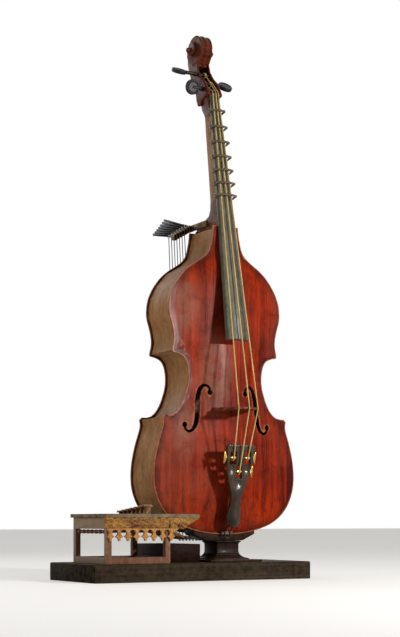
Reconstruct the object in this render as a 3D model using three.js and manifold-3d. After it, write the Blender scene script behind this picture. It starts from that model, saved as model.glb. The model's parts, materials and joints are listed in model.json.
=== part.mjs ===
// Octobass on its stand. Millimetres, +Z up, the player's side faces -Y.
// Three groups hold the pieces: the stand, the instrument standing on it, and the neck,
// which leans back from the bridge along the line of the middle string.
import * as THREE from 'three';
import { ConvexGeometry } from 'three/addons/geometries/ConvexGeometry.js';
import { mergeVertices } from 'three/addons/utils/BufferGeometryUtils.js';
import Module from 'manifold-3d';

const wasm = await Module();
wasm.setup();

const GAP = 0.3;
const RUNNING = 0.04;
const MERGE = 1e-4;
const OVERRUN = 40;
const FAR = 400;

const PLINTH = { width: 1638, depth: 682, height: 119, chamfer: 6 };

// The body stands right of the plinth centre, its front edge plane a little before it
const BODY = {
  x: 274, y: -120, z: 301, length: 2090, half: 559, depth: 329, edge: 12, arch: 40,
  topHalf: 97, spineLow: 330, spineHigh: 1680,
};

// Right half of the outline: shares of the half width and of the body's length
const LOWER_BOUT_SHARES = [
  [0, 0], [0.233, 0.003], [0.451, 0.013], [0.617, 0.03], [0.746, 0.047], [0.868, 0.077],
  [0.948, 0.114], [0.991, 0.153], [1, 0.188], [0.989, 0.23], [0.957, 0.273], [0.911, 0.314],
  [0.873, 0.341], [0.862, 0.359], [0.877, 0.373],
];
const WAIST_SHARES = [
  [0.848, 0.381], [0.769, 0.381], [0.701, 0.387], [0.626, 0.407], [0.569, 0.443], [0.526, 0.474],
  [0.512, 0.503], [0.521, 0.536], [0.555, 0.564], [0.626, 0.578], [0.73, 0.582],
];
const UPPER_BOUT_SHARES = [
  [0.741, 0.591], [0.71, 0.614], [0.705, 0.644], [0.746, 0.678], [0.78, 0.703], [0.785, 0.723],
  [0.776, 0.751], [0.753, 0.777], [0.689, 0.809], [0.597, 0.844], [0.467, 0.871], [0.318, 0.893],
  [0.247, 0.909], [0.215, 0.931], [0.193, 0.959], [0.179, 0.981],
];
const BOUT_STEPS = { lower: 11, waist: 9, upper: 11 };

// Rings of the plates: shares of the way from the edge to the spine
const RING_SHARES = [0, 0.07, 0.25, 0.55, 1];

// Where the arching dies out: shares of the half width and of the length, with no corners in it
const ARCH_SHARES = [
  [0.975, 0], [0.975, 0.188], [0.877, 0.314], [0.769, 0.373], [0.537, 0.443], [0.487, 0.503], [0.528, 0.568],
  [0.662, 0.622], [0.716, 0.678], [0.76, 0.723], [0.689, 0.804], [0.581, 0.844], [0.447, 0.871],
  [0.304, 0.893], [0.206, 0.931], [0.17, 0.981], [0.161, 1],
];
const ARCH = { power: 0.8, steps: 48 };
const RIBS = { overhang: 14, wall: 8, lining: 16, liningHigh: 28 };
const TOP_BLOCK = { half: 62, low: 1985 };
const BOTTOM_BLOCK = { half: 95, high: 105 };
const CORNER_BLOCK = { half: 46, inside: 74 };
const BUTTON = { half: 46, top: 2118, bevel: 16, root: 20 };

// Right f-hole: its centre line as shares of the body, with the half width as a share of the eye
const F_HOLE = { eye: 20, sides: 10 };
const F_HOLE_SHARES = [
  [0.249, 0.458, 0.5], [0.252, 0.471, 0.5], [0.283, 0.48, 0.5], [0.333, 0.48, 0.65], [0.376, 0.467, 0.8],
  [0.401, 0.445, 0.9], [0.413, 0.414, 0.95], [0.422, 0.383, 0.9], [0.44, 0.356, 0.8],
  [0.479, 0.336, 0.65], [0.533, 0.33, 0.5], [0.572, 0.337, 0.5], [0.583, 0.352, 0.5],
];

const BASS_BAR = {
  x: -92, half: 9, low: 440, high: 1480, bellyLow: 820, bellyHigh: 1080, shoulder: 14, deep: 34,
};
const SOUND_POST = { x: 92, z: 806, radius: 14, sides: 10 };

// Strings: the middle one runs from the bridge to the nut, leaning back
const LEAN = THREE.MathUtils.degToRad(11.14);
const STRING = {
  forward: 301, up: 838, radius: 4.5, length: 2220, spreadLow: 75, spreadHigh: 22, dropLow: 13,
  dropHigh: 3, sides: 6,
};
// Winding of a string on its peg and on its roller, with turns in degrees
const WRAP = {
  gap: 0.9, pitch: 16.5, meets: 192, turn: 540, steps: 18, rollerFrom: 330, rollerTo: 165, rollerSteps: 6,
};
const STRING_SIDE = [-1, 0, 1];

// Fingerboard and nut, in the leaning frame: y is the distance behind the middle string
const BOARD = {
  low: 484, high: 2212, halfLow: 85, halfHigh: 35, crownLow: 24, crownHigh: 10.5,
  roundLow: 150, roundHigh: 90, backLow: 70, backHigh: 31, steps: 6,
};
const NUT = { low: BOARD.high + GAP, high: 2236, crown: 4.9, half: 36, round: 90, brow: 9 };

// Neck: [share of its height, share of the heel's depth, share of its half width, roundness share]
const NECK = { top: 2880, heel: 343, half: 60, steps: 10, footRound: 0.5 };
const NECK_SHARES = [
  [0.061, 1, 0.93, 0.52], [0.075, 0.883, 0.9, 0.56], [0.094, 0.7, 0.88, 0.64], [0.12, 0.56, 0.87, 0.74],
  [0.171, 0.51, 0.85, 0.84], [0.259, 0.51, 0.83, 0.9], [0.582, 0.62, 0.73, 0.92],
  [0.885, 0.725, 0.63, 0.92], [1, 0.75, 0.6, 0.9],
];

// Pegbox: side outline and hollow as shares of its depth and height, front outline of its half width
const PEGBOX = {
  front: 130, back: 450, low: 3000, high: 3400, half: 60, cheek: 21, lip: 3, well: 46, wellRise: 10,
};
const PEGBOX_SIDE_SHARES = [
  [0.159, 0.27], [0.366, 0.415], [0.478, 0.548], [0.506, 0.655], [0.531, 0.825], [0.781, 1], [0.988, 0.85],
  [0.978, 0.77], [0.944, 0.693], [0.76, 0.438], [0.545, 0.14], [0.5, -0.035], [0.38, -0.06],
];
const HOLLOW_SHARES = [
  [0.412, 0.215], [0.675, 0.455], [0.819, 0.63], [0.58, 0.645], [0.5, 0.715], [0.063, 0.6],
];
const PEGBOX_FRONT_SHARES = [
  [0.92, -0.07], [1, 0.03], [1, 0.375], [0.83, 0.625], [0.68, 0.825], [0.63, 1.05],
];
// Chin: [height, back] as shares of the pegbox, then its half width and roundness shares
const CHIN_SHARES = [
  [-0.2225, 0.44, 0.63, 0.86], [-0.1425, 0.51, 0.68, 0.8], [-0.08, 0.52, 0.75, 0.74],
];
const CHIN = {
  back: 292, heelBack: 284, top: 3060, topBack: 268, halfLow: 51, half: 56, halfTop: 58,
  roundLow: 0.7, round: 0.64, roundTop: 0.6,
};

// Volute: [turn in degrees, radius share, half width share]
const SCROLL = {
  y: 350, z: 3372, radius: 108, half: 92, step: 35, lap: 1.5, eye: 17, eyeReach: 12, eyeSides: 10,
};
const VOLUTE_SHARES = [
  [-40, 1, 0.43], [0, 0.99, 0.43], [90, 1.01, 0.45], [180, 1, 0.49], [270, 0.96, 0.56],
  [360, 0.76, 0.63], [450, 0.6, 0.72], [540, 0.45, 0.8], [630, 0.36, 0.89], [720, 0.28, 0.97],
  [800, 0.21, 1],
];

// Pegs: the head is a dished disc that holds the peg's axis in its plane, tilted in degrees
const PEG = {
  shaft: 11, sides: 16, seat: 62, collar: 17, collarLong: 10, neck: 13, disc: 52, discThick: 30,
  rim: 6, bowl: 34, dish: 5,
};
const PEGS = [
  { y: 208, z: 3070, head: 140, inner: 61, side: -1, tilt: 102 },
  { y: 296, z: 3195, head: 196, inner: 58, side: -1, tilt: 28 },
  { y: 232, z: 3118, head: 136, inner: 61, side: 1, tilt: 42 },
];

const BRIDGE = { thickLow: 34, thickHigh: 13, half: 124, seat: 2.2 };
const BRIDGE_SHARES = [
  [0.32, 0.988], [0.6, 0.955], [0.74, 0.918], [0.73, 0.782], [0.6, 0.728], [0.565, 0.66], [0.68, 0.6],
  [0.855, 0.54], [0.9, 0.432], [0.84, 0.338], [0.9, 0.257], [1, 0.175], [1, 0.067],
  [0.18, 0.067], [0.18, 0.175], [0.355, 0.243], [0.4, 0.338], [0.29, 0.418],
];
const HEART_SHARES = [[0, 0.54], [0.19, 0.62], [0.24, 0.695], [0.16, 0.75], [0.05, 0.735]];
const KIDNEY_SHARES = [[0.47, 0.432], [0.69, 0.418], [0.74, 0.465], [0.645, 0.52], [0.48, 0.506]];

const TAIL = {
  tilt: THREE.MathUtils.degToRad(11.5), thick: 22, forward: 96, up: 49, half: 110, length: 560, steps: 14,
};
const TAIL_SHARES = [
  [0, 0], [0.31, 0.007], [0.47, 0.05], [0.51, 0.11], [0.455, 0.171], [0.373, 0.25], [0.364, 0.339],
  [0.455, 0.429], [0.6, 0.518], [0.727, 0.598], [0.836, 0.714], [0.927, 0.857], [1, 0.979],
];
const TAIL_SHOULDER_SHARE = 0.87;
const OPENING = { half: 24, above: 40, below: 44 };
const ROLLER = { radius: 14, half: 17, shaft: 5, seat: 32, sides: 12 };
const KEY = {
  hub: 9, clear: 1, stand: 3, boss: 6, reach: 18, rootHigh: 10, high: 40, thick: 6, rootThick: 10,
};
const ROLLERS = [{ x: -55, up: 472, side: -1 }, { x: 0, up: 379, side: 1 }, { x: 55, up: 472, side: 1 }];

const SADDLE = { half: 42, low: 2, high: 20, deep: 20 };
// Tail gut: up behind the tailpiece, forward over the saddle, then turned under to the other side
const GUT = { radius: 4, half: 20, sides: 8, high: 70, low: 4 };
// Half of its way past the saddle: [inward, behind the saddle's line, height]
const GUT_TURN = [[0, -3, 26], [0, 0, -3], [2, 5, -14], [8, 8, -20]];


// Stops: hub on a pin at the left edge of the fingerboard, bar across, horn on the right
const STOP = {
  count: 7, turn: THREE.MathUtils.degToRad(7), behind: 5, half: 5, wide: 13, pin: 3, pinSides: 10, hub: 8,
  hubLong: 18, side: 9, sink: 7, clear: 0.9, reach: 13, horn: 17, hornHalf: 3.5, lug: 10, lugHalf: 5,
  pinFree: 15, lugRoot: 5,
};

// Levers behind the left shoulder: the pivots climb to the right
const LEVER = {
  firstX: -216, pitch: 20.5, firstZ: 2059, climb: 12, y: 325, pin: 5, hub: 12, sides: 10, play: 0.5,
  eyeArm: 80, eye: 7, eyeSides: 8, flat: 6, barHalf: 11, shankHalf: 7, angle: 12, fan: 1, length: 312,
  growth: 12, grip: 9.5, gripRoot: 6.5, gripStart: 112, gripEase: 8, gripSides: 8,
};
const BRACKET = {
  armLeft: -76, armRight: -62, armFront: 132, armBack: 402, armLow: 2108, armHigh: 2150,
  stepTop: 18, stepLow: 28, stepHalf: 13, cheek: 4, cheekHalf: 18, cheekTop: 12,
};
const WIRE = {
  radius: 3, sides: 6, link: 7.6, linkWire: 2, linkSides: 5, linkSteps: 10, drop: 2.5, collar: 9,
  collarLong: 5, tail: 3, under: 1.5,
};
const WIRE_FOOT = { firstX: 158, pitch: 23.3, firstY: 308, stepY: -6, z: 272 };

// Pedals: the axle lies along the left side of the platform
const PEDAL = {
  axleX: -690, axleZ: 325, axle: 7, axleInset: 10, hub: 14, sides: 10, firstY: 145, pitch: -60,
  slatWide: 22, slatHigh: 16, taperX: -260, kneeX: -190, dipX: -10, dipZ: 287, thin: 3.5, headX: -380,
  headWide: 20, headLong: 36, capWide: 34, capLong: 62, capHigh: 14, capBevel: 5, firstTop: 464,
  topStep: 6, eye: 10.5, eyeHole: 7.4, eyeSides: 8, slotSide: 4, slotFront: 5, slotBack: 10,
};

const PLATFORM = {
  left: -713, right: -251, front: -290, back: 200, deck: 415, post: 36, rail: 26, railTop: 160,
  railLow: 342, slab: 24, slabLeft: -732, slabRight: -250, slabFront: -310,
  slabBack: 208, stripBack: -190, stripRight: -42, stripRoot: 20,
};
const CORNICE = { low: 347, thick: 18, right: -240, bracketLeft: -260, bracketLow: 318, lip: 10 };
const CORNICE_SHARES = [[1, 0.84], [0.8, 0.75], [0.7, 0.57], [0.9, 0.4], [0.65, 0.22], [0.5, 0]];
const CORNICE_BRACKET_SHARES = [
  [0, 1], [1, 1], [1, 0.9], [0.872, 0.825], [0.789, 0.68], [0.734, 0.62], [0.642, 0.557], [0.55, 0.33],
  [0.436, 0.227], [0.298, 0.278], [0.211, 0.124], [0.11, 0], [0, 0.04],
];
const CORNICE_DISC = { x: -172, z: 366, radius: 24, reach: 26, sides: 12, inner: 10, innerReach: 4 };
// Apron: a row of four-pointed pendants, with a round hole and a notch between each two
const APRON = {
  first: -691, pitch: 62.86, count: 8, low: 265, high: 350, thick: 15, tipHalf: 27, tipZ: 294,
  flankHalf: 9, flankZ: 281, hole: 21, holeZ: 317, holeSides: 12,
};

const PEDESTAL = { y: -64, foot: 200, footHigh: 16, top: 260.7, ledge: 98, sink: 4 };
// Square column: half width as a share of the ledge's, height share above the foot
const COLUMN_SHARES = [
  [1.4, 0.02], [1.4, 0.05], [1.2, 0.1], [1.04, 0.17], [0.93, 0.27], [0.87, 0.4], [0.87, 0.82],
  [0.9, 0.88], [0.95, 0.91], [1, 0.93], [1, 0.97], [0.93, 1],
];
const CRADLE = {
  front: 13, back: 140, foot: 145, waist: 180, half: 240, low: -40, waistZ: -24, edge: 4, high: 40,
};

const CASE = { left: -190, right: 68, front: -130, back: 330, high: 240, wall: 14 };

function lerp(a, b, share) {
  return a + (b - a) * share;
}

// Shares of a rectangle turned into places
function spread(shares, x0, x1, y0, y1) {
  return shares.map(([x, y]) => [lerp(x0, x1, x), lerp(y0, y1, y)]);
}

function signedVolume(position, index) {
  const corner = [new THREE.Vector3(), new THREE.Vector3(), new THREE.Vector3()];
  let sum = 0;
  for (let i = 0; i < index.length; i += 3) {
    corner.forEach((point, k) => point.fromBufferAttribute(position, index[i + k]));
    sum += corner[0].dot(corner[1].cross(corner[2]));
  }
  return sum / 6;
}

// Shared points only, no collapsed faces, all faces pointing out
function closed(geometry) {
  const plain = geometry.clone();
  plain.deleteAttribute('normal');
  plain.deleteAttribute('uv');
  const merged = mergeVertices(plain, MERGE);
  const source = Array.from(merged.index.array);
  let index = [];
  for (let i = 0; i < source.length; i += 3) {
    const [a, b, c] = source.slice(i, i + 3);
    if (a !== b && b !== c && a !== c) {
      index.push(a, b, c);
    }
  }
  if (signedVolume(merged.getAttribute('position'), index) < 0) {
    index = index.reverse();
  }
  merged.setIndex(index);
  return merged;
}

function toSolid(geometry) {
  const body = closed(geometry);
  return new wasm.Manifold(new wasm.Mesh({
    numProp: 3,
    vertProperties: new Float32Array(body.getAttribute('position').array),
    triVerts: new Uint32Array(body.index.array),
  }));
}

function fromSolid(solid) {
  const data = solid.getMesh();
  const geometry = new THREE.BufferGeometry();
  geometry.setAttribute('position', new THREE.BufferAttribute(new Float32Array(data.vertProperties), 3));
  geometry.setIndex(new THREE.BufferAttribute(new Uint32Array(data.triVerts), 1));
  return geometry;
}

function join(...bodies) {
  return fromSolid(bodies.map(toSolid).reduce((sum, one) => sum.add(one)));
}

function cut(body, ...tools) {
  return fromSolid(tools.map(toSolid).reduce((left, tool) => left.subtract(tool), toSolid(body)));
}

function meet(...bodies) {
  return fromSolid(bodies.map(toSolid).reduce((shared, one) => shared.intersect(one)));
}

// Skin between rings of the same number of points; flat ends unless the rings close on themselves
function loft(rings, ends = true) {
  const count = rings[0].length;
  const index = [];
  for (let k = 0; k + 1 < rings.length; k += 1) {
    for (let i = 0; i < count; i += 1) {
      const a = k * count + i;
      const b = k * count + (i + 1) % count;
      index.push(a, b, b + count, a, b + count, a + count);
    }
  }
  const last = (rings.length - 1) * count;
  for (let i = 1; ends && i + 1 < count; i += 1) {
    index.push(0, i + 1, i, last, last + i, last + i + 1);
  }
  const geometry = new THREE.BufferGeometry();
  geometry.setAttribute('position', new THREE.Float32BufferAttribute(rings.flat(2), 3));
  geometry.setIndex(index);
  return geometry;
}

function block(x0, x1, y0, y1, z0, z1) {
  return new THREE.BoxGeometry(x1 - x0, y1 - y0, z1 - z0)
    .translate((x0 + x1) / 2, (y0 + y1) / 2, (z0 + z1) / 2);
}

function extruded(points, depth) {
  const shape = new THREE.Shape(points.map(([x, y]) => new THREE.Vector2(x, y)));
  return new THREE.ExtrudeGeometry(shape, { depth, bevelEnabled: false, steps: 1 });
}

// Prisms over an outline given in the (y, z), (x, z) or (x, y) plane
function prismX(points, x0, x1) {
  const matrix = new THREE.Matrix4().set(0, 0, 1, x0, 1, 0, 0, 0, 0, 1, 0, 0, 0, 0, 0, 1);
  return extruded(points, x1 - x0).applyMatrix4(matrix);
}

function prismY(points, y0, y1) {
  const matrix = new THREE.Matrix4().set(1, 0, 0, 0, 0, 0, -1, y1, 0, 1, 0, 0, 0, 0, 0, 1);
  return extruded(points, y1 - y0).applyMatrix4(matrix);
}

function prismZ(points, z0, z1) {
  return extruded(points, z1 - z0).translate(0, 0, z0);
}

// Round bar between two points
function rod(from, to, radius, sides) {
  const start = new THREE.Vector3(...from);
  const way = new THREE.Vector3(...to).sub(start);
  const turn = new THREE.Quaternion().setFromUnitVectors(new THREE.Vector3(0, 1, 0), way.clone().normalize());
  const middle = start.clone().addScaledVector(way, 0.5);
  return new THREE.CylinderGeometry(radius, radius, way.length(), sides)
    .applyQuaternion(turn).translate(middle.x, middle.y, middle.z);
}

function barX(x0, x1, y, z, radius, sides) {
  return rod([x0, y, z], [x1, y, z], radius, sides);
}

// Bore whose flats stay clear of a pin with as many sides
function boreRadius(radius, sides) {
  return (radius + RUNNING) / Math.cos(Math.PI / sides);
}

// Turned piece: profile of [radius, height] about the Z axis
function turned(profile, sides) {
  return new THREE.LatheGeometry(profile.map(([r, h]) => new THREE.Vector2(r, h)), sides)
    .rotateX(Math.PI / 2);
}

function hull(points) {
  return new ConvexGeometry(points.map((p) => new THREE.Vector3(...p)));
}

function cornersOf(geometry) {
  const position = geometry.getAttribute('position');
  return Array.from(
    { length: position.count }, (_, k) => new THREE.Vector3().fromBufferAttribute(position, k).toArray(),
  );
}

// Outline of a bent strip: centre line of [x, y, half width]
function strip(knots) {
  const sides = knots.map(([x, y, half], i) => {
    const [xa, ya] = knots[Math.max(i - 1, 0)];
    const [xb, yb] = knots[Math.min(i + 1, knots.length - 1)];
    const length = Math.hypot(xb - xa, yb - ya);
    const nx = (-(yb - ya) / length) * half;
    const ny = ((xb - xa) / length) * half;
    return [[x + nx, y + ny], [x - nx, y - ny]];
  });
  return [...sides.map((pair) => pair[0]), ...sides.map((pair) => pair[1]).reverse()];
}

// Round cord along a polyline, mitred at its bends
function cord(path, radius, sides) {
  const points = path.map((p) => new THREE.Vector3(...p));
  let normal = new THREE.Vector3(1, 0, 0);
  const rings = points.map((point, i) => {
    const before = points[Math.max(i - 1, 0)];
    const after = points[Math.min(i + 1, points.length - 1)];
    const tangent = after.clone().sub(before).normalize();
    normal = normal.clone().addScaledVector(tangent, -normal.dot(tangent)).normalize();
    const other = tangent.clone().cross(normal);
    return Array.from({ length: sides }, (_, k) => {
      const angle = (2 * Math.PI * k) / sides;
      const at = point.clone().addScaledVector(normal, radius * Math.cos(angle))
        .addScaledVector(other, radius * Math.sin(angle));
      return [at.x, at.y, at.z];
    });
  });
  return loft(rings);
}

function smooth(points, steps) {
  const curve = new THREE.SplineCurve(points.map(([x, y]) => new THREE.Vector2(x, y)));
  return curve.getPoints(steps).map((p) => [p.x, p.y]);
}

function addMesh(group, name, body, color, roughness = 0.6, metalness = 0) {
  const geometry = closed(body);
  geometry.computeVertexNormals();
  const mesh = new THREE.Mesh(geometry, new THREE.MeshStandardMaterial({ color, roughness, metalness }));
  mesh.name = name;
  group.add(mesh);
}

const octobass = new THREE.Group();
const stand = new THREE.Group();
const instrument = new THREE.Group();
instrument.position.set(BODY.x, BODY.y, BODY.z);
const neckFrame = new THREE.Group();
neckFrame.position.set(0, -STRING.forward, STRING.up);
neckFrame.rotation.x = -LEAN;
const tailFrame = new THREE.Group();
tailFrame.position.set(0, -TAIL.forward, TAIL.up);
tailFrame.rotation.x = TAIL.tilt;
instrument.add(neckFrame, tailFrame);
octobass.add(stand, instrument);

// From the leaning frame (along, behind) to the instrument frame (y, z)
function fromNeck(along, behind) {
  return [
    -STRING.forward + along * Math.sin(LEAN) + behind * Math.cos(LEAN),
    STRING.up + along * Math.cos(LEAN) - behind * Math.sin(LEAN),
  ];
}

// Outline of the body: right half, then the mirrored left half
const bodyShares = (shares, steps) => smooth(spread(shares, 0, BODY.half, 0, BODY.length), steps);
const mirrored = (points) => points.map(([x, y]) => [-x, y]);
const bouts = [
  bodyShares(LOWER_BOUT_SHARES, BOUT_STEPS.lower),
  bodyShares(WAIST_SHARES, BOUT_STEPS.waist),
  bodyShares(UPPER_BOUT_SHARES, BOUT_STEPS.upper),
];
const rightHalf = [...bouts.flat(), [BODY.topHalf, BODY.length], [NECK.half, BODY.length]];
const outline = [...rightHalf, ...mirrored(rightHalf.slice(1)).reverse()];

// A bout moved towards the inside of the body
function movedIn(bout, distance) {
  return bout.map(([x, z], i) => {
    const [xa, za] = bout[Math.max(i - 1, 0)];
    const [xb, zb] = bout[Math.min(i + 1, bout.length - 1)];
    const length = Math.hypot(xb - xa, zb - za);
    return [x - ((zb - za) / length) * distance, z + ((xb - xa) / length) * distance];
  });
}

// Two crossing lines cut back to where they meet
function trimmed(first, second) {
  for (let i = first.length - 1; i > 0; i -= 1) {
    for (let j = 0; j + 1 < second.length; j += 1) {
      const [ax, az] = first[i - 1];
      const [bx, bz] = [first[i][0] - ax, first[i][1] - az];
      const [cx, cz] = second[j];
      const [dx, dz] = [second[j + 1][0] - cx, second[j + 1][1] - cz];
      const area = bx * dz - bz * dx;
      const along = ((cx - ax) * dz - (cz - az) * dx) / area;
      const other = ((cx - ax) * bz - (cz - az) * bx) / area;
      if (along >= 0 && along <= 1 && other >= 0 && other <= 1) {
        return [...first.slice(0, i), [ax + along * bx, az + along * bz], ...second.slice(j + 1)];
      }
    }
  }
  return [...first, ...second];
}

function insetOutline(distance) {
  const [lower, waist, upper] = bouts.map((bout) => movedIn(bout, distance));
  const half = trimmed(trimmed(lower, waist), upper).slice(1);
  half.push([BODY.topHalf - distance, BODY.length - distance]);
  return [[0, distance], ...half, ...mirrored(half).reverse()];
}

function outlineAt(share) {
  return outline.map(([x, z]) => {
    const spine = Math.min(Math.max(z, BODY.spineLow), BODY.spineHigh);
    return [x * (1 - share), lerp(z, spine, share)];
  });
}

const archEdge = bodyShares(ARCH_SHARES, ARCH.steps);

function archHalf(height) {
  const k = archEdge.findIndex(([, z], i) => i > 0 && z >= height);
  const [xa, za] = archEdge[k - 1];
  const [xb, zb] = archEdge[k];
  return lerp(xa, xb, (height - za) / (zb - za));
}

// Height share of the arching: it rises from the edge to the spine
function archAt(x, z) {
  const below = (BODY.spineLow - z) / BODY.spineLow;
  const above = (z - BODY.spineHigh) / (BODY.length - BODY.spineHigh);
  const inward = Math.max(0, 1 - Math.hypot(x / archHalf(z), Math.max(0, below, above)));
  return 0.5 - 0.5 * Math.cos(Math.PI * Math.pow(inward, ARCH.power));
}

// Body between two arched skins; each skin gives y for the height share of the arch
function arched(nearSkin, farSkin) {
  const skin = (place) => RING_SHARES.map(
    (share) => outlineAt(share).map(([x, z]) => [x, place(archAt(x, z)), z]),
  );
  return loft([...skin(nearSkin).reverse(), ...skin(farSkin)], false);
}

function fHole(side) {
  const knots = F_HOLE_SHARES.map(([x, z, half]) => [
    side * x * BODY.half, z * BODY.length, half * F_HOLE.eye,
  ]);
  const eyes = [knots[0], knots[knots.length - 1]].map(
    ([x, z]) => rod([x, -FAR, z], [x, FAR, z], F_HOLE.eye, F_HOLE.sides),
  );
  return join(prismY(strip(knots), -FAR, FAR), ...eyes);
}

const belly = arched((arch) => -BODY.arch * arch, (arch) => BODY.edge - BODY.arch * arch);
addMesh(instrument, 'belly', cut(belly, fHole(-1), fHole(1)), 0xb5512a, 0.35);

// The button of the back plate stands behind the heel
const backInner = BODY.depth - BODY.edge;
const backPlate = arched((arch) => backInner + BODY.arch * arch, (arch) => BODY.depth + BODY.arch * arch);
const buttonRoot = BODY.length - BUTTON.root;
const button = prismY([
  [-BUTTON.half, buttonRoot], [BUTTON.half, buttonRoot], [BUTTON.half, BUTTON.top - BUTTON.bevel],
  [BUTTON.half - BUTTON.bevel, BUTTON.top], [BUTTON.bevel - BUTTON.half, BUTTON.top],
  [-BUTTON.half, BUTTON.top - BUTTON.bevel],
], backInner, BODY.depth);
addMesh(instrument, 'back', join(backPlate, button), 0x8a5a3a, 0.45);

// Ribs with their linings and corner blocks
const ribFront = BODY.edge + GAP;
const ribBack = backInner - GAP;
const ribInside = RIBS.overhang + RIBS.wall;
const ribPrism = (inset, low, high) => prismY(insetOutline(inset), low, high);
const ribBore = ribPrism(ribInside, 0, BODY.depth);
const liningBore = ribPrism(ribInside + RIBS.lining, 0, BODY.depth);
const blockArea = (half, low, high) => block(-half, half, ribFront - GAP, ribBack + GAP, low, high);
const topArea = (grow) => blockArea(TOP_BLOCK.half + grow, TOP_BLOCK.low - grow, BODY.length);
const bottomArea = (grow) => blockArea(BOTTOM_BLOCK.half + grow, 0, BOTTOM_BLOCK.high + grow);
const lining = (low) => cut(
  ribPrism(ribInside, low, low + RIBS.liningHigh), liningBore, topArea(GAP), bottomArea(GAP),
);
const cornerAt = (shares) => [shares[0] * BODY.half, shares[1] * BODY.length];
const corners = [LOWER_BOUT_SHARES[LOWER_BOUT_SHARES.length - 1], UPPER_BOUT_SHARES[0]].flatMap((shares) => {
  const [x, z] = cornerAt(shares);
  return [-1, 1].map((side) => prismY([
    [side * (x - CORNER_BLOCK.inside), z], [side * x, z - CORNER_BLOCK.half],
    [side * (x + CORNER_BLOCK.half), z], [side * x, z + CORNER_BLOCK.half],
  ], ribFront, ribBack));
});
const wall = cut(ribPrism(RIBS.overhang, ribFront, ribBack), ribBore);
const cornerBlocks = meet(ribPrism(RIBS.overhang, ribFront, ribBack), join(...corners));
const ribs = join(wall, cornerBlocks, lining(ribFront), lining(ribBack - RIBS.liningHigh));
addMesh(instrument, 'ribs', ribs, 0x786046, 0.5);

const innerSpace = ribPrism(ribInside + GAP, ribFront, ribBack);
addMesh(instrument, 'top_block', meet(innerSpace, topArea(0)), 0xb08a5c, 0.8);
addMesh(instrument, 'bottom_block', meet(innerSpace, bottomArea(0)), 0xb08a5c, 0.8);

// Everything before the belly's inner face or behind the back's, with a gap, trims what stands between them
const bellySide = arched(() => -FAR, (arch) => BODY.edge + GAP - BODY.arch * arch);
const backSide = arched((arch) => backInner - GAP + BODY.arch * arch, () => FAR + BODY.depth);
const bassBar = prismX([
  [-FAR / 2, BASS_BAR.low], [BASS_BAR.shoulder, BASS_BAR.low], [BASS_BAR.deep, BASS_BAR.bellyLow],
  [BASS_BAR.deep, BASS_BAR.bellyHigh], [BASS_BAR.shoulder, BASS_BAR.high], [-FAR / 2, BASS_BAR.high],
], BASS_BAR.x - BASS_BAR.half, BASS_BAR.x + BASS_BAR.half);
addMesh(instrument, 'bass_bar', cut(bassBar, bellySide), 0xc09a68, 0.8);
const soundPost = rod(
  [SOUND_POST.x, -FAR / 2, SOUND_POST.z], [SOUND_POST.x, FAR, SOUND_POST.z],
  SOUND_POST.radius, SOUND_POST.sides,
);
addMesh(instrument, 'sound_post', cut(soundPost, bellySide, backSide), 0xc8a878, 0.8);

// Neck: level sections with a flat front behind the fingerboard and a rounded back
const boardBackLow = fromNeck(BOARD.low, BOARD.backLow + GAP);
const boardBackHigh = fromNeck(BOARD.high, BOARD.backHigh + GAP);
function behindBoard(z) {
  const share = (z - boardBackLow[1]) / (boardBackHigh[1] - boardBackLow[1]);
  return lerp(boardBackLow[0], boardBackHigh[0], share);
}

function roundedStack(stations) {
  return loft(stations.map(([z, front, back, half, power]) => (
    Array.from({ length: NECK.steps + 1 }, (_, k) => {
      const angle = (Math.PI * k) / NECK.steps;
      const across = Math.cos(angle);
      return [
        half * Math.sign(across) * Math.pow(Math.abs(across), power),
        lerp(front, back, Math.pow(Math.max(0, Math.sin(angle)), power)),
        z,
      ];
    })
  )));
}

const heelFoot = BODY.length + GAP;
const overButton = BUTTON.top + GAP;
const heelInner = backInner - GAP;
const neckStations = [
  [heelFoot, behindBoard(heelFoot), heelInner, NECK.half, NECK.footRound],
  [overButton, behindBoard(overButton), heelInner, NECK.half, NECK.footRound],
  [overButton + GAP, behindBoard(overButton), NECK.heel, NECK.half, NECK.footRound],
  ...NECK_SHARES.map(([up, back, half, power]) => {
    const z = lerp(BODY.length, NECK.top, up);
    return [z, behindBoard(z), back * NECK.heel, half * NECK.half, power];
  }),
];
addMesh(instrument, 'neck', roundedStack(neckStations), 0xa9743c, 0.45);

// Head: chin, open pegbox and scroll
const nutFoot = fromNeck(NUT.low - GAP, BOARD.backHigh + GAP);
const nutHeel = fromNeck(NUT.high + GAP, BOARD.backHigh + GAP);
const nutBrow = fromNeck(NUT.high + GAP, NUT.brow);
const pegboxPlaces = (shares) => spread(shares, PEGBOX.front, PEGBOX.back, PEGBOX.low, PEGBOX.high);
const chinFoot = NECK.top + GAP;
const [, lastBack, lastHalf, lastPower] = NECK_SHARES[NECK_SHARES.length - 1];
const chin = roundedStack([
  [chinFoot, behindBoard(chinFoot), lastBack * NECK.heel, lastHalf * NECK.half, lastPower],
  ...CHIN_SHARES.map(([up, back, half, power]) => {
    const z = lerp(PEGBOX.low, PEGBOX.high, up);
    return [z, behindBoard(z), lerp(PEGBOX.front, PEGBOX.back, back), half * PEGBOX.half, power];
  }),
  [nutFoot[1], nutFoot[0], CHIN.back, CHIN.halfLow, CHIN.roundLow],
  [nutHeel[1], nutHeel[0], CHIN.heelBack, CHIN.half, CHIN.round],
  [CHIN.top, nutHeel[0], CHIN.topBack, CHIN.halfTop, CHIN.roundTop],
]);
const pegboxSide = prismX(
  [nutHeel, nutBrow, ...pegboxPlaces(PEGBOX_SIDE_SHARES)], -PEGBOX.half, PEGBOX.half,
);
const frontRight = spread(PEGBOX_FRONT_SHARES, 0, PEGBOX.half, PEGBOX.low, PEGBOX.high);
const pegboxFront = prismY([...frontRight, ...mirrored(frontRight).reverse()], 0, FAR + PEGBOX.back);
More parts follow.
